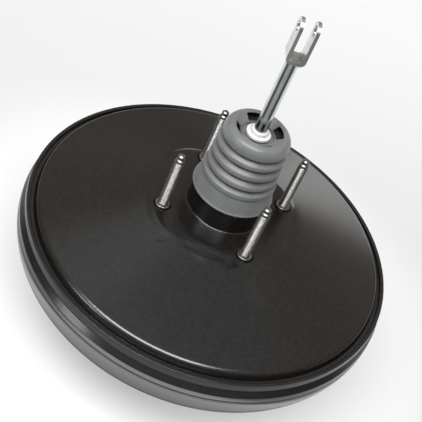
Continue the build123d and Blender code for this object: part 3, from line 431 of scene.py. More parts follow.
def drawn_group():
    """Drawn metal: streaks along Z, from noise that is stretched forty times that way."""
    tree, w, given, out = new_group("Drawn", {"Scale": 900.0})
    thin = w.add("ShaderNodeMapping", None, Vector=given[0], Scale=(1.0, 1.0, 0.025)).outputs[0]
    w.feed(out[0], w.noise(thin, given[1], 3.0))
    return tree


GROUPS = {}


def group(wires, name, vector, **inputs):
    """A shared group placed in a material, made the first time it is asked for."""
    makers = {"grain": grain_group, "dust": dust_group, "scuffs": scuff_group, "drawn": drawn_group}
    if name not in GROUPS:
        GROUPS[name] = makers[name]()
    node = wires.add("ShaderNodeGroup", {"node_tree": GROUPS[name]})
    wires.feed(node.inputs[0], vector)
    for key, value in inputs.items():
        wires.feed(node.inputs[key], value)
    return node.outputs


# -------- materials
def new_material(name, **uniform):
    """A material, its wires and Object coordinates. Uniform numbers go on the shader's sockets."""
    material = bpy.data.materials.new(name)
    material.use_nodes = True
    tree = material.node_tree
    shader = tree.nodes["Principled BSDF"]
    for key, value in uniform.items():
        shader.inputs[key.replace("_", " ")].default_value = value
    wires = Wires(tree, shader)
    place = wires.add("ShaderNodeTexCoord").outputs["Object"]
    return material, wires, place


def rgba(value, gain=1.0):
    return (value[0] * gain, value[1] * gain, value[2] * gain, 1.0)


MARK_X = -47.5 * MM
MARK_Y = -52.73 * MM
MARK_LENGTH = 10.0 * MM
MARK_WIDTH = 1.4 * MM


def black_paint(name):
    """Stoved black paint: satin, with fine orange peel and light dust, and glossier on the neck.

    A thin dull mark lies on the cone beside the pad.
    """
    settings = bpy.context.scene.booster_shell
    material, w, place = new_material(name, IOR=1.6)
    base = rgba(settings.paint)
    dust = group(w, "dust", place, Scale=300.0, Amount=0.035)[0]
    scuffs = group(w, "scuffs", place, Scale=14.0, Amount=0.10)[0]
    cloud = w.noise(place, 9.0, 4.0, 0.6)
    tint = w.mix(w.ramp(cloud, 0.3, 0.7), base, rgba(settings.paint, 1.35))
    dusty = w.mix(w.plus(dust, w.times(scuffs, 0.2)), tint, (0.16, 0.155, 0.15, 1.0))
    w.shade("Base Color", dusty)
    neck = w.ramp(w.split(place)[2], 0.0005, 0.003)
    long, wide = MARK_LENGTH / 2, MARK_WIDTH / 2
    stretch = {"Location": (-MARK_X / long, -MARK_Y / wide, 0.0), "Scale": (1 / long, 1 / wide, 0.0)}
    mark = w.add("ShaderNodeMapping", None, Vector=place, **stretch).outputs[0]
    mark = w.ramp(w.vector("LENGTH", mark)["Value"], 1.0, 0.3)
    w.shade("Specular IOR Level", w.line(mark, -0.35, 0.5))
    rough = w.line(cloud, 0.04, settings.paint_roughness - 0.02)
    rough = w.plus(rough, w.times(scuffs, 0.12))
    rough = w.times(rough, w.minus(1.0, w.times(neck, 0.45)))
    w.shade("Roughness", rough)
    peel = w.plus(w.noise(place, 420.0, 2.0), w.times(w.noise(place, 60.0, 2.0), 1.2))
    w.shade("Normal", w.bump(peel, 0.10, 0.0004))
    return material


def zinc(name, base, roughness, streaks=False, fine=1500.0, roots=False):
    """Bright zinc plate: slightly cloudy and grained, with drawn streaks on bars and painted shade in the
    thread roots.

    Without a base colour it takes the studs' own zinc.
    """
    base = base or bpy.context.scene.booster_stud.zinc
    material, w, place = new_material(name, Metallic=1.0)
    cloud = w.noise(place, 130.0, 3.0)
    grain = group(w, "grain", place, Scale=fine, Contrast=1.2)
    tint = w.mix(w.ramp(cloud, 0.35, 0.7), rgba(base, 0.86), rgba(base, 1.05))
    tint = w.mix(w.times(grain[0], 0.25), tint, rgba(base, 0.6))
    if roots:
        depth = w.add("ShaderNodeAttribute", {"attribute_name": "root"}).outputs["Fac"]
        tint = w.mix(w.ramp(w.noise(place, 900.0, 2.0), 0.42, 0.58), tint, rgba(base, 0.55))
        # painted shade: the thread roots darken with their depth in the thread
        tint = w.mix(depth, tint, rgba(base, 0.22))
    w.shade("Base Color", tint)
    rough = w.line(grain[0], 0.16, roughness - 0.08)
    height = grain[1]
    if streaks:
        lines = group(w, "drawn", place, Scale=1400.0)[0]
        rough = w.plus(rough, w.times(w.minus(lines, 0.5), 0.15))
        height = w.plus(w.times(height, 0.3), lines)
    w.shade("Roughness", rough)
    w.shade("Normal", w.bump(height, 0.25 if roots else 0.12, 0.00012))
    return material


def rubber(name, base):
    """Moulded rubber: matt, finely pitted, with dust where it faces up."""
    material, w, place = new_material(name, Sheen_Weight=0.12, Sheen_Roughness=0.5)
    grain = group(w, "grain", place, Scale=700.0, Contrast=1.5)
    dust = group(w, "dust", place, Scale=60.0, Amount=0.25)[0]
    tint = w.mix(grain[0], rgba(base, 0.82), rgba(base, 1.15))
    w.shade("Base Color", w.mix(dust, tint, rgba([0.25 + 0.75 * c for c in base], 0.7)))
    w.shade("Roughness", w.line(grain[0], 0.12, 0.49))
    w.shade("Normal", w.bump(grain[1], 0.25, 0.0002))
    return material


def boot_rubber(name):
    """Grey boot rubber with painted shade in the grooves: the boot's mesh carries their depth as an
    attribute, and the rubber darkens with it.
    """
    settings = bpy.context.scene.booster_boot
    material, w, place = new_material(name, Sheen_Weight=0.10, Sheen_Roughness=0.5)
    depth = w.add("ShaderNodeAttribute", {"attribute_name": "groove"}).outputs["Fac"]
    grain = group(w, "grain", place, Scale=650.0, Contrast=1.5)
    dust = group(w, "dust", place, Scale=70.0, Amount=0.22)[0]
    cloud = w.noise(place, 45.0, 4.0, 0.6)
    lit = w.mix(w.ramp(cloud, 0.3, 0.7), rgba(settings.rubber, 0.92), rgba(settings.rubber, 1.08))
    # painted shade: the rubber darkens towards the groove colour as the groove deepens
    tint = w.mix(depth, lit, rgba(settings.groove))
    fleck = w.mix(w.times(grain[0], 0.3), tint, rgba(settings.groove))
    w.shade("Base Color", w.mix(dust, fleck, (0.24, 0.24, 0.235, 1.0)))
    w.shade("Roughness", w.line(cloud, 0.12, 0.32))
    w.shade("Normal", w.bump(grain[1], 0.22, 0.00025))
    return material


def moulding(name, base, roughness, speck=0.15):
    """Moulded plastic: even colour with faint flow marks and a finely grained surface."""
    material, w, place = new_material(name)
    flow = w.noise(place, 80.0, 4.0, 0.6)
    grain = group(w, "grain", place, Scale=1600.0, Contrast=1.0)
    tint = w.mix(w.ramp(flow, 0.3, 0.7), rgba(base, 1 - speck), rgba(base, 1 + 0.3 * speck))
    w.shade("Base Color", tint)
    w.shade("Roughness", w.line(grain[0], 0.14, roughness - 0.07))
    w.shade("Normal", w.bump(grain[1], 0.15, 0.0001))
    return material


def fibre(name, base, scale):
    """Felt or open foam: crossing stretched noises for fibres, and deep pits between them."""
    material, w, place = new_material(name, Roughness=0.95, Sheen_Weight=0.2)
    layers = []
    for turn, stretch in (((0.0, 0.0, 0.6), (1.0, 0.2, 1.0)), ((0.0, 0.3, -0.7), (0.2, 1.0, 1.0))):
        lay = w.add("ShaderNodeMapping", None, Vector=place, Rotation=turn, Scale=stretch).outputs[0]
        layers.append(w.noise(lay, scale))
    threads = w.math("MAXIMUM", *layers)
    pits = w.ramp(threads, 0.45, 0.7)
    # painted shade: the pits between the fibres are darker
    w.shade("Base Color", w.mix(pits, rgba(base, 0.45), rgba(base, 1.1)))
    w.shade("Normal", w.bump(pits, 0.6, 0.0006))
    return material


def woven_rubber(name, base):
    """Diaphragm rubber with its fabric showing through as a fine square weave."""
    material, w, place = new_material(name)
    spot = w.split(place)
    warp, weft = (w.math("SINE", w.times(spot[axis], 5200.0)) for axis in (0, 1))
    weave = w.times(warp, weft)
    grain = group(w, "grain", place, Scale=500.0, Contrast=1.4)
    mask = w.line(weave, 0.3, grain[0], clamp=True)
    w.shade("Base Color", w.mix(mask, rgba(base, 0.7), rgba(base, 1.4)))
    w.shade("Roughness", w.line(grain[0], 0.15, 0.6))
    w.shade("Normal", w.bump(weave, 0.3, 0.0002))
    return material


FINISHES = {  # each slot's maker, and what it is given after the name
    "black_paint": (black_paint,),
    "boot_rubber": (boot_rubber,),
    "stud_zinc": (zinc, None, 0.36, False, 1500.0, True),
    "rod_zinc": (zinc, (0.74, 0.785, 0.79), 0.16, True),
    "clevis_zinc": (zinc, (0.76, 0.79, 0.81), 0.30),
    "zinc_steel": (zinc, (0.62, 0.61, 0.57), 0.38, False, 900.0),
    "rod_steel": (zinc, (0.50, 0.50, 0.50), 0.30),
    "spring_steel": (zinc, (0.22, 0.22, 0.225), 0.36),
    "seal_rubber": (rubber, (0.022, 0.022, 0.022)),
    "diaphragm_rubber": (woven_rubber, (0.03, 0.03, 0.03)),
    "nylon": (moulding, (0.74, 0.71, 0.62), 0.42),
    "white_nylon": (moulding, (0.60, 0.61, 0.60), 0.34, 0.06),
    "black_nylon": (moulding, (0.02, 0.02, 0.021), 0.36),
    "moulded_resin": (moulding, (0.022, 0.022, 0.021), 0.40),
    "filter_felt": (fibre, (0.62, 0.61, 0.57), 900.0),
    "filter_foam": (fibre, (0.045, 0.045, 0.045), 600.0),
}
MATERIALS = {}


def finish(slot):
    """The material of one of the record's slots, made the first time it is asked for."""
    if slot not in MATERIALS:
        maker, *look = FINISHES[slot]
        MATERIALS[slot] = maker(slot, *look)
    return MATERIALS[slot]


# -------- shells
NECK_R = 30.5 * MM
NECK_STRAIGHT = 19.0 * MM
NECK_END_R = 27.2 * MM
NECK_MOUTH_R = 23.6 * MM
FLAT_R = 62.0 * MM
FOLD_R = 141.8 * MM
FOLD_Z = -24.4 * MM
FLANGE_R = 148.2 * MM
FLANGE_Z = -30.4 * MM
WALL_FOOT_R = 144.3 * MM
PAD_TURN = radians(-9.0)
STUD_CIRCLE = 52.3 * MM
STUD_TURN = radians(19.0)
HOLE_BAND = 0.62 * MM  # on each side of a hole's edge, where points slide
HOLE_EDGE = 0.12 * MM  # half the gap that they leave
HOLE_DIP = 0.25 * MM  # of the pressed ring round a hole
HOLE_RING = 3.0 * MM  # its width
PLATE_SHOW = 0.93  # depth of what shows in a hole, in wall thicknesses
PAD_RAMP = 7.0 * MM
PAD_FADE = 6.0 * MM  # height above the pad's face where the pad no longer lifts the neck


def smooth(t):
    """Smooth step: 0 below 0, 1 above 1, and 3t^2 - 2t^3 between."""
    t = np.clip(t, 0, 1)
    return t * t * (3 - 2 * t)


def disc_height(r, pad_height):
    """Height of the rear shell's flat and cone: a straight slope past the flat's edge, eased over 4 mm."""
    slope = (FOLD_Z + pad_height) / (FOLD_R - FLAT_R)
    ease = 2.0 * MM
    return -pad_height + slope * ease * np.logaddexp(0, (r - FLAT_R) / ease)


def pad_distance(x, y, half, corner):
    """Signed distance to the turned rounded square: that to a smaller square, less the corner radius."""
    across = np.abs(cos(PAD_TURN) * x + sin(PAD_TURN) * y) - (half - corner)
    along = np.abs(-sin(PAD_TURN) * x + cos(PAD_TURN) * y) - (half - corner)
    outside = np.hypot(np.maximum(across, 0), np.maximum(along, 0))
    return outside + np.minimum(np.maximum(across, along), 0) - corner


def stud_centres():
    angle = STUD_TURN + np.arange(4) * tau / 4
    return STUD_CIRCLE * np.cos(angle), STUD_CIRCLE * np.sin(angle)


def rear_shell_grid(settings):
    """Rear shell: a turned profile whose outside rises on the pad and sinks inside the four stud holes.

    Near a hole each point slides along the line from the stud's centre until it lies just outside or inside
    the hole's edge, so that the edge is round, and what lies inside drops to the plate below.
    """
    wall = settings.wall
    pad = settings.pad_height
    hole = settings.stud_hole
    top = high_z("rear_shell")
    # close rows over the pad and wider ones down the cone
    radii = np.concatenate([np.linspace(33.5, 84, 84), np.linspace(86, 136.5, 16)]) * MM
    disc = np.stack([radii, disc_height(radii, pad)], -1)
    neck = open_outline(
        [
            (NECK_MOUTH_R, top), (NECK_END_R, top), (NECK_R, NECK_STRAIGHT), (NECK_R, -pad),
            (NECK_R + 4 * MM, -pad), (NECK_R + 4 * MM, -pad - 9 * MM),
        ],
        np.array([0.3, 1.9, 3.0, 1.3, 0.1, 0.1]) * MM,
        7,
        last=2,
    )
    rim = open_outline(
        [
            (FOLD_R - 6 * MM, disc_height(FOLD_R - 6 * MM, pad)), (FOLD_R, FOLD_Z),
            (WALL_FOOT_R, FLANGE_Z), (FLANGE_R, FLANGE_Z), (FLANGE_R, FLANGE_Z - wall),
            (WALL_FOOT_R - wall, FLANGE_Z - wall), (FOLD_R - wall, FOLD_Z - wall),
            (FLAT_R, -pad - wall), (NECK_R - wall, -pad - wall), (NECK_R - wall, NECK_STRAIGHT),
            (NECK_END_R - wall, top - wall), (NECK_MOUTH_R, top - wall),
        ],
        np.array([0.05, 5.2, 0.12, 0.3, 0.3, 0.8, 1.0, 3.0, 1.0, 2.0, 0.5, 0.3]) * MM,
        12,
        first=1,
    )
    profile = np.concatenate([neck, disc, rim])
    grid = turned(profile, 540)
    outside = np.arange(len(profile)) < len(neck) + len(disc)
    x, y = grid[..., 0], grid[..., 1]
    on_pad = smooth(0.5 - pad_distance(x, y, settings.pad_half, settings.pad_corner) / PAD_RAMP)
    foot = smooth(1 - profile[:, 1] / PAD_FADE) * outside
    grid[..., 2] += pad * on_pad * foot[:, None]
    rows = np.flatnonzero(outside & (np.abs(profile[:, 0] - STUD_CIRCLE) < hole + HOLE_RING))
    for cx, cy in zip(*stud_centres()):
        dx, dy = grid[rows, :, 0] - cx, grid[rows, :, 1] - cy
        away = np.hypot(dx, dy)
        band = np.abs(away - hole) < HOLE_BAND
        inner = away < hole
        target = np.where(inner, hole - HOLE_EDGE, hole + HOLE_EDGE)
        scale = np.where(band, target / np.maximum(away, 1e-6), 1.0)
        grid[rows, :, 0] = cx + dx * scale
        grid[rows, :, 1] = cy + dy * scale
        lip = smooth((away * scale - hole) / (2 * HOLE_DIP)) * HOLE_DIP
        ring = (away < hole + HOLE_RING) & ~inner
        grid[rows, :, 2] += np.where(ring, lip - HOLE_DIP, 0)
        grid[rows, :, 2] = np.where(inner, -pad - PLATE_SHOW * wall, grid[rows, :, 2])
    return grid


BARREL_R = 39.0 * MM
BARREL_END = radians(64.5)
SHELL_MAX_R = 153.2 * MM
BARREL_Z = -46.0 * MM
BOSS_X = -97.0 * MM
BOSS_R = 16.0 * MM
BOSS_Z = -106.0 * MM
BOSS_DRAFT = radians(14)
BOSS_BLEND = 9.0 * MM
RIM_R = 150.4 * MM
RIM_Z = -27.9 * MM
RIM_FOOT_R = 149.1 * MM
CURL_R = 147.2 * MM


def front_shell_grid(settings):
    """Front shell: a turned profile of curled rim, necked band, barrel, cone and flat front.

    The barrel is an arc from 1 degree below the horizontal to BARREL_END, where the cone leaves it. The
    boss round the check valve is the lower of the cone's height and a flat with steep drafted sides.
    """
    wall = settings.wall
    front = low_z("front_shell")
    barrel_x = SHELL_MAX_R - BARREL_R
    angle = np.linspace(radians(1), BARREL_END, 30)
    outer = arc(barrel_x, BARREL_Z, BARREL_R, -angle)
    inner = arc(barrel_x, BARREL_Z, BARREL_R - wall, -angle)[::-1]
    slope = np.tan(pi / 2 - BARREL_END)
    flat_r = outer[-1, 0] - (outer[-1, 1] - front) / slope
    cone_r = np.linspace(outer[-1, 0] - 1.5 * MM, flat_r - 6 * MM, 48)
    ease = 1.6 * MM
    cone = np.stack([cone_r, front + slope * ease * np.logaddexp(0, (cone_r - flat_r) / ease)], -1)
    hole = reach("front_seal")
    rim = rounded(
        [
            (inner[-1, 0], BARREL_Z + 2 * MM), (RIM_FOOT_R - wall, RIM_Z - 6.6 * MM),
            (RIM_R - wall, RIM_Z - 4.6 * MM), (RIM_R - wall, RIM_Z - 2.1 * MM),
            (CURL_R, RIM_Z - 2.1 * MM), (CURL_R, RIM_Z - 0.4 * MM), (148.0 * MM, RIM_Z),
            (RIM_R - 0.4 * MM, RIM_Z - 0.1 * MM), (RIM_R + 0.1 * MM, RIM_Z - 4.5 * MM),
            (RIM_FOOT_R, RIM_Z - 5.7 * MM), (149.3 * MM, RIM_Z - 8.0 * MM),
            (SHELL_MAX_R - 0.5 * MM, RIM_Z - 12.2 * MM), (SHELL_MAX_R - 0.05 * MM, BARREL_Z + 1.4 * MM),
        ],
        np.array([2.0, 1.5, 1.0, 0.5, 0.4, 0.2, 0.4, 0.35, 0.5, 0.7, 1.5, 0.9, 3.0]) * MM,
        7,
    )
    face = open_outline(
        [
            (cone_r[-1] - 1 * MM, front), (hole, front), (hole, front + wall),
            (flat_r - 2 * MM, front + wall), (inner[0, 0], inner[0, 1]),
        ],
        np.array([0.1, 0.5, 0.3, 4.0, 0.1]) * MM,
        6,
        last=1,
    )
    profile = np.concatenate([rim, outer, cone, face, inner])
    grid = turned(profile, 400)
    first = len(rim) + len(outer)
    rows = slice(first, first + len(cone))
    away = np.hypot(grid[rows, :, 0] - BOSS_X, grid[rows, :, 1])
    drafted = BOSS_Z + np.maximum(away - BOSS_R, 0) / np.tan(BOSS_DRAFT)
    height = grid[rows, :, 2]
    soft = 0.8 * MM
    lower = -soft * np.logaddexp(-height / soft, -drafted / soft)
    grid[rows, :, 2] = np.where(away < BOSS_R + BOSS_BLEND, lower, height)
    return grid


# -------- boot
def boot_profile():
    """Outside of the boot from the skirt's rim to the hole, as (radius, height), with rounded corners."""
    skirt = [(31.6, 19.5), (32.5, 19.5), (32.5, 20.9), (32.0, 21.2)]
    skirt += [(28.9, 34.2), (29.9, 34.9), (29.6, 38.4)]
    radii = [0.05, 0.4, 0.5, 0.3, 0.5, 0.5, 1.2]
    ridges = []
    for groove, ridge, z in ((24.3, 28.5, 44.2), (23.7, 27.9, 53.8), (23.1, 27.3, 63.4)):
        ridges += [(groove, z - 2.9), (ridge, z - 0.9), (ridge - 0.2, z + 2.2)]
        radii += [1.1, 0.7, 2.4]
    dome = [(22.3, 69.2), (26.2, 71.3), (26.2, 75.8), (23.9, 79.9)]
    dome += [(20.0, 81.4), (13.0, 76.7), (12.1, 74.3), (8.9, 74.2)]
    radii += [1.1, 0.9, 8.0, 8.0, 2.0, 0.8, 0.6, 0.05]
    points = np.array(skirt + ridges + dome + [(8.9, 60.0), (31.6, 10.0)]) * MM
    sizes = np.array(radii + [0.01, 0.01]) * MM
    curve = open_outline(points, sizes, 9, last=2)
    gap = norm(np.diff(curve, axis=0), axis=1)
    curve = curve[np.concatenate([[True], gap > 1e-6])]
    run = np.concatenate([[0], np.cumsum(norm(np.diff(curve, axis=0), axis=1))])
    even = np.linspace(0, run[-1], 230)
    return np.stack([np.interp(even, run, curve[:, 0]), np.interp(even, run, curve[:, 1])], -1)


WINDOW_IN = 13.3 * MM
WINDOW_OUT = 18.6 * MM
WINDOW_TURN = radians(12.0)
WINDOW_BAND = 0.30 * MM  # on each side of a window's edge, where points slide
CROWN_Z = 73.5 * MM  # the windows lie above this height and inside this radius
CROWN_R = 21.0 * MM


def window_distance(r, angle, span):
    """Signed distance to the nearest air window, a rounded rectangle on the unrolled middle circle."""
    middle = (WINDOW_IN + WINDOW_OUT) / 2
    turn = (angle - WINDOW_TURN + tau / 8) % (tau / 4) - tau / 8
    corner = 1.3 * MM
    across = np.abs(turn) * middle - (span / 2 * middle - corner)
    deep = np.abs(r - middle) - ((WINDOW_OUT - WINDOW_IN) / 2 - corner)
    outside = np.hypot(np.maximum(across, 0), np.maximum(deep, 0))
    return outside + np.minimum(np.maximum(across, deep), 0) - corner


def boot_object(settings):
    """Boot: the outside profile and the same moved inwards by the wall, turned, with the air windows open.

    Points near a window's edge slide onto it. A wall joins outside and inside along the rims.
    """
    outer = boot_profile()
    along = np.gradient(outer, axis=0)
    along /= norm(along, axis=1)[:, None]
    inner = outer + settings.wall * np.stack([-along[:, 1], along[:, 0]], -1)
    count = 300
    rows = len(outer)
    angle = np.arange(count) * tau / count + 0 * outer[:, :1]
    r = outer[:, :1] + 0 * angle
    top = outer[:, 1] > CROWN_Z
    middle = (WINDOW_IN + WINDOW_OUT) / 2
    step = 0.02 * MM

    def edge(radius, turn):
        return window_distance(radius, turn, settings.window_span)

    away = edge(r, angle)
    pull_r = (edge(r + step, angle) - edge(r - step, angle)) / (2 * step)
    pull_a = (edge(r, angle + step / middle) - edge(r, angle - step / middle)) / (2 * step)
    close = (np.abs(away) < WINDOW_BAND) & top[:, None] & (outer[:, :1] < CROWN_R)
    r = np.where(close, r - away * pull_r, r)
    angle = np.where(close, angle - away * pull_a / middle, angle)
    out_z = np.where(close, np.interp(-r, -outer[top, 0], outer[top, 1]), outer[:, 1:])
    shift = inner - outer
    in_r = r + shift[:, :1]
    outside = polar(r, angle, out_z)
    inside = polar(in_r, angle, out_z + shift[:, 1:])
    quads = quads_of(rows, count, False)
    centre = away.reshape(-1)[quads].mean(1)
    row = quads[:, 0] // count
    kept = quads[~((centre < 0) & top[row] & (outer[row, 0] < CROWN_R))]
    edges = np.concatenate([kept[:, [0, 1]], kept[:, [1, 2]], kept[:, [2, 3]], kept[:, [3, 0]]])
    total = rows * count
    code = edges[:, 0].astype(np.int64) * total + edges[:, 1]
    back = edges[:, 1].astype(np.int64) * total + edges[:, 0]
    rim = edges[~np.isin(code, back)]
    walls = np.stack([rim[:, 1], rim[:, 0], rim[:, 0] + total, rim[:, 1] + total], -1)
    faces = np.concatenate([kept, kept[:, ::-1] + total, walls])
    points = np.concatenate([outside.reshape(-1, 3), inside.reshape(-1, 3)])
    item = mesh_object("boot_rubber", points, outward(points, faces).tolist())
    out_r, height = outer.T
    # the groove's depth, which the boot's material turns into painted shade, is measured from a line along
    # the tops of the ridges
    hull = np.interp(height, np.array([34, 45, 64, 76]) * MM, np.array([29.4, 28.6, 27.3, 26]) * MM)
    grooved = (height > 36 * MM) & (height < 73 * MM)
    depth = smooth((hull - out_r - 0.8 * MM) / (3.2 * MM)) * grooved
    depth = np.concatenate([np.repeat(depth, count), np.ones(total)])
    carry(item, "groove", depth)
    return item


# -------- diaphragm, studs and springs
FOLD_CENTRE = 128.45  # millimetres, the diaphragm's rolling fold
FOLD_LEVEL = -45.0
FOLD_INSIDE = 10.45
FOLD_OUTSIDE = 12.15
FOLD_CUT = 118.3
RING_GAP = 0.05


def fold_arc(radius, start, end, steps):
    return arc(FOLD_CENTRE, FOLD_LEVEL, radius, np.linspace(start, end, steps))


def diaphragm_outlines():
    """Outlines of the diaphragm's two rings: the one on the piston, and the one held in the rim.

    The fold is a half circle. A vertical cut beside its inner leg parts the rings and lets the leg pass.
    """
    cut_in, cut_out = (pi + np.arccos((FOLD_CENTRE - FOLD_CUT) / r) for r in (FOLD_INSIDE, FOLD_OUTSIDE))
    disc = [(116.3, -38.0), (116.3, -29.9), (56.0, -13.3), (20.2, -13.3), (20.2, -9.9), (25.0, -9.9)]
    disc += [(26.0, -11.6), (56.0, -11.6), (118.0, -28.8), (118.0, -38.0)]
    inner = [
        rounded(disc, [0.02, 0.8, 6.0, 0.3, 0.5, 0.5, 0.8, 6.0, 2.0, 0.02]),
        fold_arc(FOLD_INSIDE, pi, cut_in, 6),
        fold_arc(FOLD_OUTSIDE, cut_out, pi, 6),
    ]
    bead = [(138.9, -38.0), (138.9, -32.35), (147.2, -32.35), (147.2, -35.05)]
    bead += [(140.6, -37.75), (140.6, -40.0)]
    outer = [
        rounded(bead, [0.02, 0.6, 0.8, 0.8, 0.8, 0.02]),
        fold_arc(FOLD_OUTSIDE, tau, cut_out, 32),
        fold_arc(FOLD_INSIDE, cut_in, tau, 32),
    ]
    return np.concatenate(inner) * MM, (np.concatenate(outer) + [RING_GAP, 0.0]) * MM


STUD_R = 4.0 * MM
STUD_HEAD_R = 8.0 * MM
STUD_HEAD = 3.2 * MM
KNURL_R = 4.6 * MM  # where the stud is pressed into its plate
NOSE = 5.2 * MM  # the plain tip past the thread
COLLAR_R = 6.0 * MM
COLLAR = 1.5 * MM  # height of the collar above its flat
BORE = 0.4 * MM  # the caps' first and last ring


def stud_grid(seat, collar, end, head, settings):
    """Staked stud: a turned outline whose thread is a ridge that climbs one pitch for each turn.

    On the threaded length the radius is the stud's less the depth times a flattened triangle wave of
    height / pitch - angle / turn. Also returns how deep each point lies in the thread.
    """
    big = STUD_R
    thread_end = end - NOSE
    under = head + STUD_HEAD
    foot = open_outline(
        [(BORE, head), (STUD_HEAD_R, head), (STUD_HEAD_R, under), (KNURL_R, under), (KNURL_R, seat),
         (COLLAR_R, seat), (COLLAR_R, collar), (big, collar), (BORE, collar)],
        np.array([0.1, 0.8, 0.4, 0.2, 0.2, 0.2, 0.6, 0.1, 0.1]) * MM, 4, last=1)
    z = np.arange(collar + 0.3 * MM, thread_end, settings.pitch / 8)
    shank = np.stack([np.full_like(z, big), z], -1)
    tip = np.array([(2.2, 1.2), (2.2, 1.7), (2.9, 2.3)]) * MM + [0, thread_end]
    nose = open_outline(
        [(big, thread_end), *tip, (2.9 * MM, end - 1.2 * MM), (1.5 * MM, end), (0.3 * MM, end),
         (0.2 * MM, thread_end)],
        np.array([0.3, 0.3, 0.3, 0.5, 1.2, 1.0, 0.1, 0.01]) * MM, 5, last=1)
    profile = np.concatenate([foot, shank, nose])
    count = 36
    grid = turned(profile, count)
    rows = np.arange(len(foot), len(foot) + len(shank))
    turn = np.arange(count) / count
    wave = np.clip(2.3 * np.abs((z[:, None] / settings.pitch - turn) % 1.0 - 0.5) - 0.07, 0, 1)
    runout = smooth((thread_end - z) / (1.6 * settings.pitch))
    wave *= np.minimum(smooth((z - collar) / settings.pitch), runout)[:, None]
    taper = 0.35 * MM * (1 - smooth((thread_end - z) / (2 * MM)))
    grid[rows, :, :2] *= ((big - settings.depth * wave - taper[:, None]) / big)[..., None]
    root = np.zeros(grid.shape[:2])
    root[rows] = wave
    return grid, root


def joined(name, grids, root):
    """One object of several closed grids with capped ends, which carry root as a number on each point."""
    parts = [closed_surface(f"{name}_{i}", g, wrap_rows=False) for i, g in enumerate(grids)]
    bpy.ops.object.select_all(action="DESELECT")
    for part in parts:
        carry(part, "root", root.reshape(-1))
        part.select_set(True)
    bpy.context.view_layer.objects.active = parts[0]
    bpy.ops.object.join()
    parts[0].name = name
    return parts[0]


def coil_grid(coil_r, wire_r, bottom, top, turns, centre_x):
    """Helical spring: a tube on a helix whose pitch eases to nothing over the first and last turn."""
    count = int(turns * 40)
    t = np.linspace(0, turns, count)
    climb = smooth(t / turns) * 0.35 + np.clip((t - 0.8) / (turns - 1.6), 0, 1) * 0.65
    z = bottom + wire_r + climb * (top - bottom - 2 * wire_r)
    path = polar(coil_r, t * tau, z) + [centre_x, 0, 0]
    return tube(path, wire_r, 14)


# -------- operators
class BOOSTER_OT_shells(bpy.types.Operator):
    """Turn the rear and front shells with their pad, stud holes, rolled rim and valve boss"""

    bl_idname = "booster.shells"
    bl_label = "Shells"

    def execute(self, context):
        for node, make in (("rear_shell", rear_shell_grid), ("front_shell", front_shell_grid)):
            item = closed_surface(node + "_painted", make(context.scene.booster_shell))
            dress(item, "black_paint", "shells", [node])
        return {"FINISHED"}


class BOOSTER_OT_boot(bpy.types.Operator):
    """Mould the convoluted boot with its air windows"""

    bl_idname = "booster.boot"
    bl_label = "Boot"

    def execute(self, context):
        item = boot_object(context.scene.booster_boot)
        dress(item, "boot_rubber", None, ["boot"])
        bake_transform(item)
        return {"FINISHED"}


class BOOSTER_OT_studs(bpy.types.Operator):
    """Roll the threads of the firewall studs and of the master cylinder's studs"""

    bl_idname = "booster.studs"
    bl_label = "Studs"

    def execute(self, context):
        settings = context.scene.booster_stud
        low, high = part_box("rear_studs")
        plate = high_z("rear_plate")
        one, root = stud_grid(plate, COLLAR, high.z, low.z, settings)
        grids = [one + np.array([x, y, 0]) for x, y in zip(*stud_centres())]
        rear = joined("rear_studs_threaded", grids, root)
        dress(rear, "stud_zinc", "shells", ["rear_studs"])
        low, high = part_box("master_cylinder_studs")
        front = low_z("front_shell")
        seat = -front - context.scene.booster_shell.wall
        one, root = stud_grid(seat, COLLAR - front, -low.z, -high.z, settings)
        flipped = one * np.array([1, -1, -1])
        centre = high.x - STUD_HEAD_R
        grids = [flipped + np.array([side * centre, 0, 0]) for side in (1, -1)]
        pair = joined("front_studs_threaded", grids, root)
        dress(pair, "stud_zinc", "shells", ["master_cylinder_studs"])
        return {"FINISHED"}


class BOOSTER_OT_springs(bpy.types.Operator):
    """Coil the return spring and the small springs"""

    bl_idname = "booster.springs"
    bl_label = "Springs"

    def execute(self, context):
        settings = context.scene.booster_spring
        small = settings.small_turns
        springs = [
            ("return_spring", 1.8, settings.return_turns, 0.0, ("shells", "piston")),
            ("input_rod_spring", 0.75, small, 0.0, ("piston", "valve")),
            ("poppet_spring", 0.6, small, 0.0, None),
            ("check_valve_spring", 0.3, small, BOSS_X, ("shells", "check_valve")),
        ]
        for node, wire, turns, centre_x, bodies in springs:
            low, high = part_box(node)
            coil_r = (high.x - low.x) / 2 - wire * MM
            grid = coil_grid(coil_r, wire * MM, low.z, high.z, turns, centre_x)
            item = closed_surface(node + "_coiled", grid, wrap_rows=False)
            dress(item, "spring_steel", None if bodies else "piston", [node])
            if bodies:
                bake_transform(item)
        return {"FINISHED"}


class BOOSTER_OT_diaphragm(bpy.types.Operator):
    """Mould the diaphragm as an inner ring on the piston and a rolled ring held in the rim"""

    bl_idname = "booster.diaphragm"
    bl_label = "Diaphragm"

    def execute(self, context):
        inner, outer = diaphragm_outlines()
        disc = closed_surface("diaphragm_disc", turned(inner, 240))
        dress(disc, "diaphragm_rubber", "piston", ["diaphragm"])
        fold = closed_surface("diaphragm_fold", turned(outer, 240))
        dress(fold, "diaphragm_rubber", "shells")
        return {"FINISHED"}


class BOOSTER_OT_finishes(bpy.types.Operator):
    """Give each piece that keeps its own solid the finish of its slot"""

    bl_idname = "booster.finishes"
    bl_label = "Finishes"

    def execute(self, context):
        for entry in frame["record"]["subparts"]:
            item = NODES[entry["node"]]
            item.data.materials.clear()
            item.data.materials.append(finish(entry["material_slot"]))
        return {"FINISHED"}


def towards(azimuth, elevation):
    """Unit vector in a direction given in degrees."""
    a, e = radians(azimuth), radians(elevation)
    return Vector((cos(e) * cos(a), cos(e) * sin(a), sin(e)))


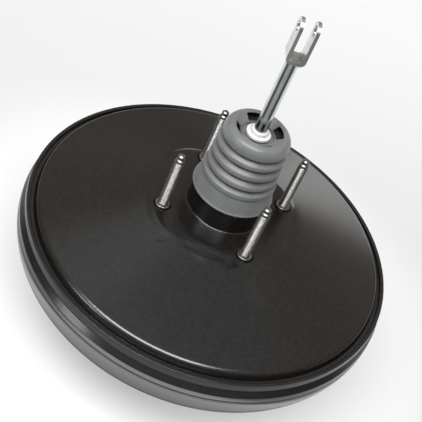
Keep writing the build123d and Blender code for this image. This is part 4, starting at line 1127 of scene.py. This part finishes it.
def panel(name, azimuth, elevation, distance, width, height, radiance):
    """A soft light panel that faces the booster. Its power is pi times its radiance and area."""
    data = bpy.data.lights.new(name, "AREA")
    data.shape = "RECTANGLE"
    data.size = width
    data.size_y = height
    data.energy = pi * radiance * width * height
    item = new_object(name, data)
    way = towards(azimuth, elevation)
    item.location = distance * way
    item.rotation_euler = way.to_track_quat("Z", "Y").to_euler()


CAMERA_AZIMUTH = radians(-105.38)
CAMERA_ELEVATION = radians(41.32)
AHEAD = (cos(CAMERA_AZIMUTH), sin(CAMERA_AZIMUTH), 0.0)  # level, towards the camera
CAMERA_ROLL = radians(25.16)
CAMERA_TARGET = Vector((-4.56, 10.69, -19.94)) * MM
CAMERA_DISTANCE = 0.7867
CAMERA_LENS = 83.29
SENSOR = 36.0
FLOOR_HALF = 3.0
RIM_REACH = 0.152
GREY = (0.05, 0.05, 0.05, 1.0)
WHITE = (1.0, 1.0, 1.0, 1.0)
PANELS = (  # name, azimuth and elevation in degrees, distance, width, height
    ("key", -114, 62, 2.0, 1.9, 0.85),
    ("side", -150, 20, 2.2, 0.7, 0.8),
    ("window", 58, 7, 2.6, 1.1, 0.55),
    ("overhead", 126, 62, 2.4, 1.1, 0.9),
)


class BOOSTER_OT_stage(bpy.types.Operator):
    """Set the camera, the pale floor and surround, and the soft lamps"""

    bl_idname = "booster.stage"
    bl_label = "Stage"

    def execute(self, context):
        self.camera(context)
        self.floor(context)
        self.surround(context)
        self.lamps(context)
        return {"FINISHED"}

    def camera(self, context):
        data = bpy.data.cameras.new("camera")
        data.lens = CAMERA_LENS
        data.sensor_width = SENSOR
        data.sensor_fit = "HORIZONTAL"
        data.clip_end = 50.0
        item = new_object("camera", data)
        level = cos(CAMERA_ELEVATION)
        back = Vector((level * AHEAD[0], level * AHEAD[1], sin(CAMERA_ELEVATION)))
        right = Vector((-AHEAD[1], AHEAD[0], 0.0))
        up = back.cross(right)
        turned_right = right * cos(CAMERA_ROLL) + up * sin(CAMERA_ROLL)
        turned_up = back.cross(turned_right)
        place = Matrix((turned_right, turned_up, back)).transposed().to_4x4()
        place.translation = CAMERA_TARGET + CAMERA_DISTANCE * back
        item.matrix_world = place
        context.scene.camera = item

    def floor(self, context):
        """The floor holds painted light and shade. The paint mirrors a darker floor from afar, a painted
        shadow under the booster and a bright ring round the booster; the floor's colour is painted darker
        on the camera's side, and it glows more near the booster and behind it.
        """
        settings = context.scene.booster_stage
        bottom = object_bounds()[0][2]
        mesh = bpy.data.meshes.new("floor")
        signs = ((-1, -1), (1, -1), (1, 1), (-1, 1))
        corners = [(x * FLOOR_HALF, y * FLOOR_HALF, bottom) for x, y in signs]
        mesh.from_pydata(corners, [], [(0, 1, 2, 3)])
        item = new_object("floor", mesh)
        material, w, place = new_material("floor", Roughness=0.7, Specular_IOR_Level=0.2)
        ray = w.add("ShaderNodeLightPath").outputs
        away = w.vector("LENGTH", w.vector("MULTIPLY", place, (1.0, 1.0, 0.0))["Vector"])["Value"]
        front = w.vector("DOT_PRODUCT", place, AHEAD)["Value"]
        share_ahead = w.math("DIVIDE", front, away)

        # pale paper, painted darker on the camera's side as shade, and the darker floor that only mirrors
        # show: a painted dark reflection from afar and a painted shadow under the booster
        pale = settings.floor
        paper = w.mix(w.ramp(w.noise(place, 2.0), 0.3, 0.7), rgba(pale), rgba(pale, 0.98))
        # painted shade: the floor's colour is darker on the camera's side
        paper = w.mix(w.ramp(front, -0.20, 0.08), paper, rgba(pale, 0.83))
        far = w.times(w.ramp(ray["Ray Length"], 0.20, 0.25), ray["Is Glossy Ray"])
        under = w.times(w.ramp(away, 0.175, 0.10), ray["Is Glossy Ray"])
        painted_mirror_shade = w.math("MAXIMUM", w.times(far, w.ramp(share_ahead, 0.10, 0.25)), under)
        dim = w.mix(w.ramp(share_ahead, 0.78, 0.93), (0.04, 0.04, 0.04, 1.0), (0.20, 0.205, 0.21, 1.0))
        w.shade("Base Color", w.mix(painted_mirror_shade, paper, w.mix(under, dim, GREY)))

        # the lit ring, hidden from rays that start more than about 0.1 m above the floor
        past_rim = w.minus(away, RIM_REACH)
        squared = w.times(ray["Ray Length"], ray["Ray Length"])
        near = w.ramp(w.minus(squared, w.times(past_rim, past_rim)), 0.0104, 0.0092)
        ring = w.times(w.ramp(away, 0.15, 0.24), w.ramp(away, 0.40, 0.32))
        lit = w.times(w.times(ring, w.minus(1.0, ray["Is Camera Ray"])), near)
        # painted shadow: rays other than the camera's see no glow on the floor under the booster
        open_floor = w.math("MAXIMUM", w.ramp(away, 0.10, 0.17), ray["Is Camera Ray"])
        # painted light: the floor glows more near the booster, lifting its shadow, and further behind it
        soft = w.plus(w.ramp(away, 0.32, 0.15, 0.0, 0.24), w.ramp(front, -0.1, -0.8, 0.0, 0.26))
        glow = w.times(open_floor, w.plus(soft, settings.glow))
        shine = w.plus(w.times(lit, settings.table), glow)
        w.shade("Emission Strength", w.times(shine, w.minus(1.0, painted_mirror_shade)))
        w.shade("Emission Color", WHITE)
        material.cycles.emission_sampling = "NONE"
        mesh.materials.append(material)
        item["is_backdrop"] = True

    def surround(self, context):
        world = bpy.data.worlds.new("surround")
        world.use_nodes = True
        context.scene.world = world
        settings = context.scene.booster_stage
        w = Wires(world.node_tree)
        height = w.split(w.add("ShaderNodeTexCoord").outputs["Generated"])[2]
        low = w.ramp(height, 0.04, 0.45, settings.horizon, settings.sky)
        level = w.plus(low, w.ramp(height, 0.6, 1.0, 0.0, settings.zenith))
        background = world.node_tree.nodes["Background"]
        seen = w.add("ShaderNodeLightPath").outputs["Is Camera Ray"]
        w.feed(background.inputs["Strength"], w.math("MAXIMUM", level, w.times(seen, 0.9)))
        neutral = w.math("MAXIMUM", w.ramp(height, 0.6, 0.9), seen)
        w.feed(background.inputs["Color"], w.mix(neutral, (1.0, 0.90, 0.80, 1.0), WHITE))

    def lamps(self, context):
        for name, *place in PANELS:
            panel(name, *place, getattr(context.scene.booster_stage, name))
        context.scene.view_settings.view_transform = "Standard"


class BOOSTER_PT_panel(bpy.types.Panel):
    """Lists the booster's steps in the 3D view's sidebar"""

    bl_idname = "BOOSTER_PT_panel"
    bl_label = "Brake booster"
    bl_space_type = "VIEW_3D"
    bl_region_type = "UI"
    bl_category = "Booster"

    def draw(self, context):
        for step in STEPS:
            self.layout.operator(step.bl_idname)


STEPS = (
    BOOSTER_OT_finishes,
    BOOSTER_OT_shells,
    BOOSTER_OT_boot,
    BOOSTER_OT_studs,
    BOOSTER_OT_springs,
    BOOSTER_OT_diaphragm,
    BOOSTER_OT_stage,
)
PROPS = {
    "booster_shell": ShellProps,
    "booster_boot": BootProps,
    "booster_stud": StudProps,
    "booster_spring": SpringProps,
    "booster_stage": StageProps,
}


def register():
    for name, props in PROPS.items():
        bpy.utils.register_class(props)
        setattr(bpy.types.Scene, name, bpy.props.PointerProperty(type=props))
    for item in (*STEPS, BOOSTER_PT_panel):
        bpy.utils.register_class(item)


def unregister():
    for item in reversed((*STEPS, BOOSTER_PT_panel)):
        bpy.utils.unregister_class(item)
    for name, props in PROPS.items():
        delattr(bpy.types.Scene, name)
        bpy.utils.unregister_class(props)


def main():
    """Builds the booster step by step."""
    register()
    for step in STEPS:
        area, action = step.bl_idname.split(".")
        getattr(getattr(bpy.ops, area), action)()


if __name__ == "__main__":
    main()
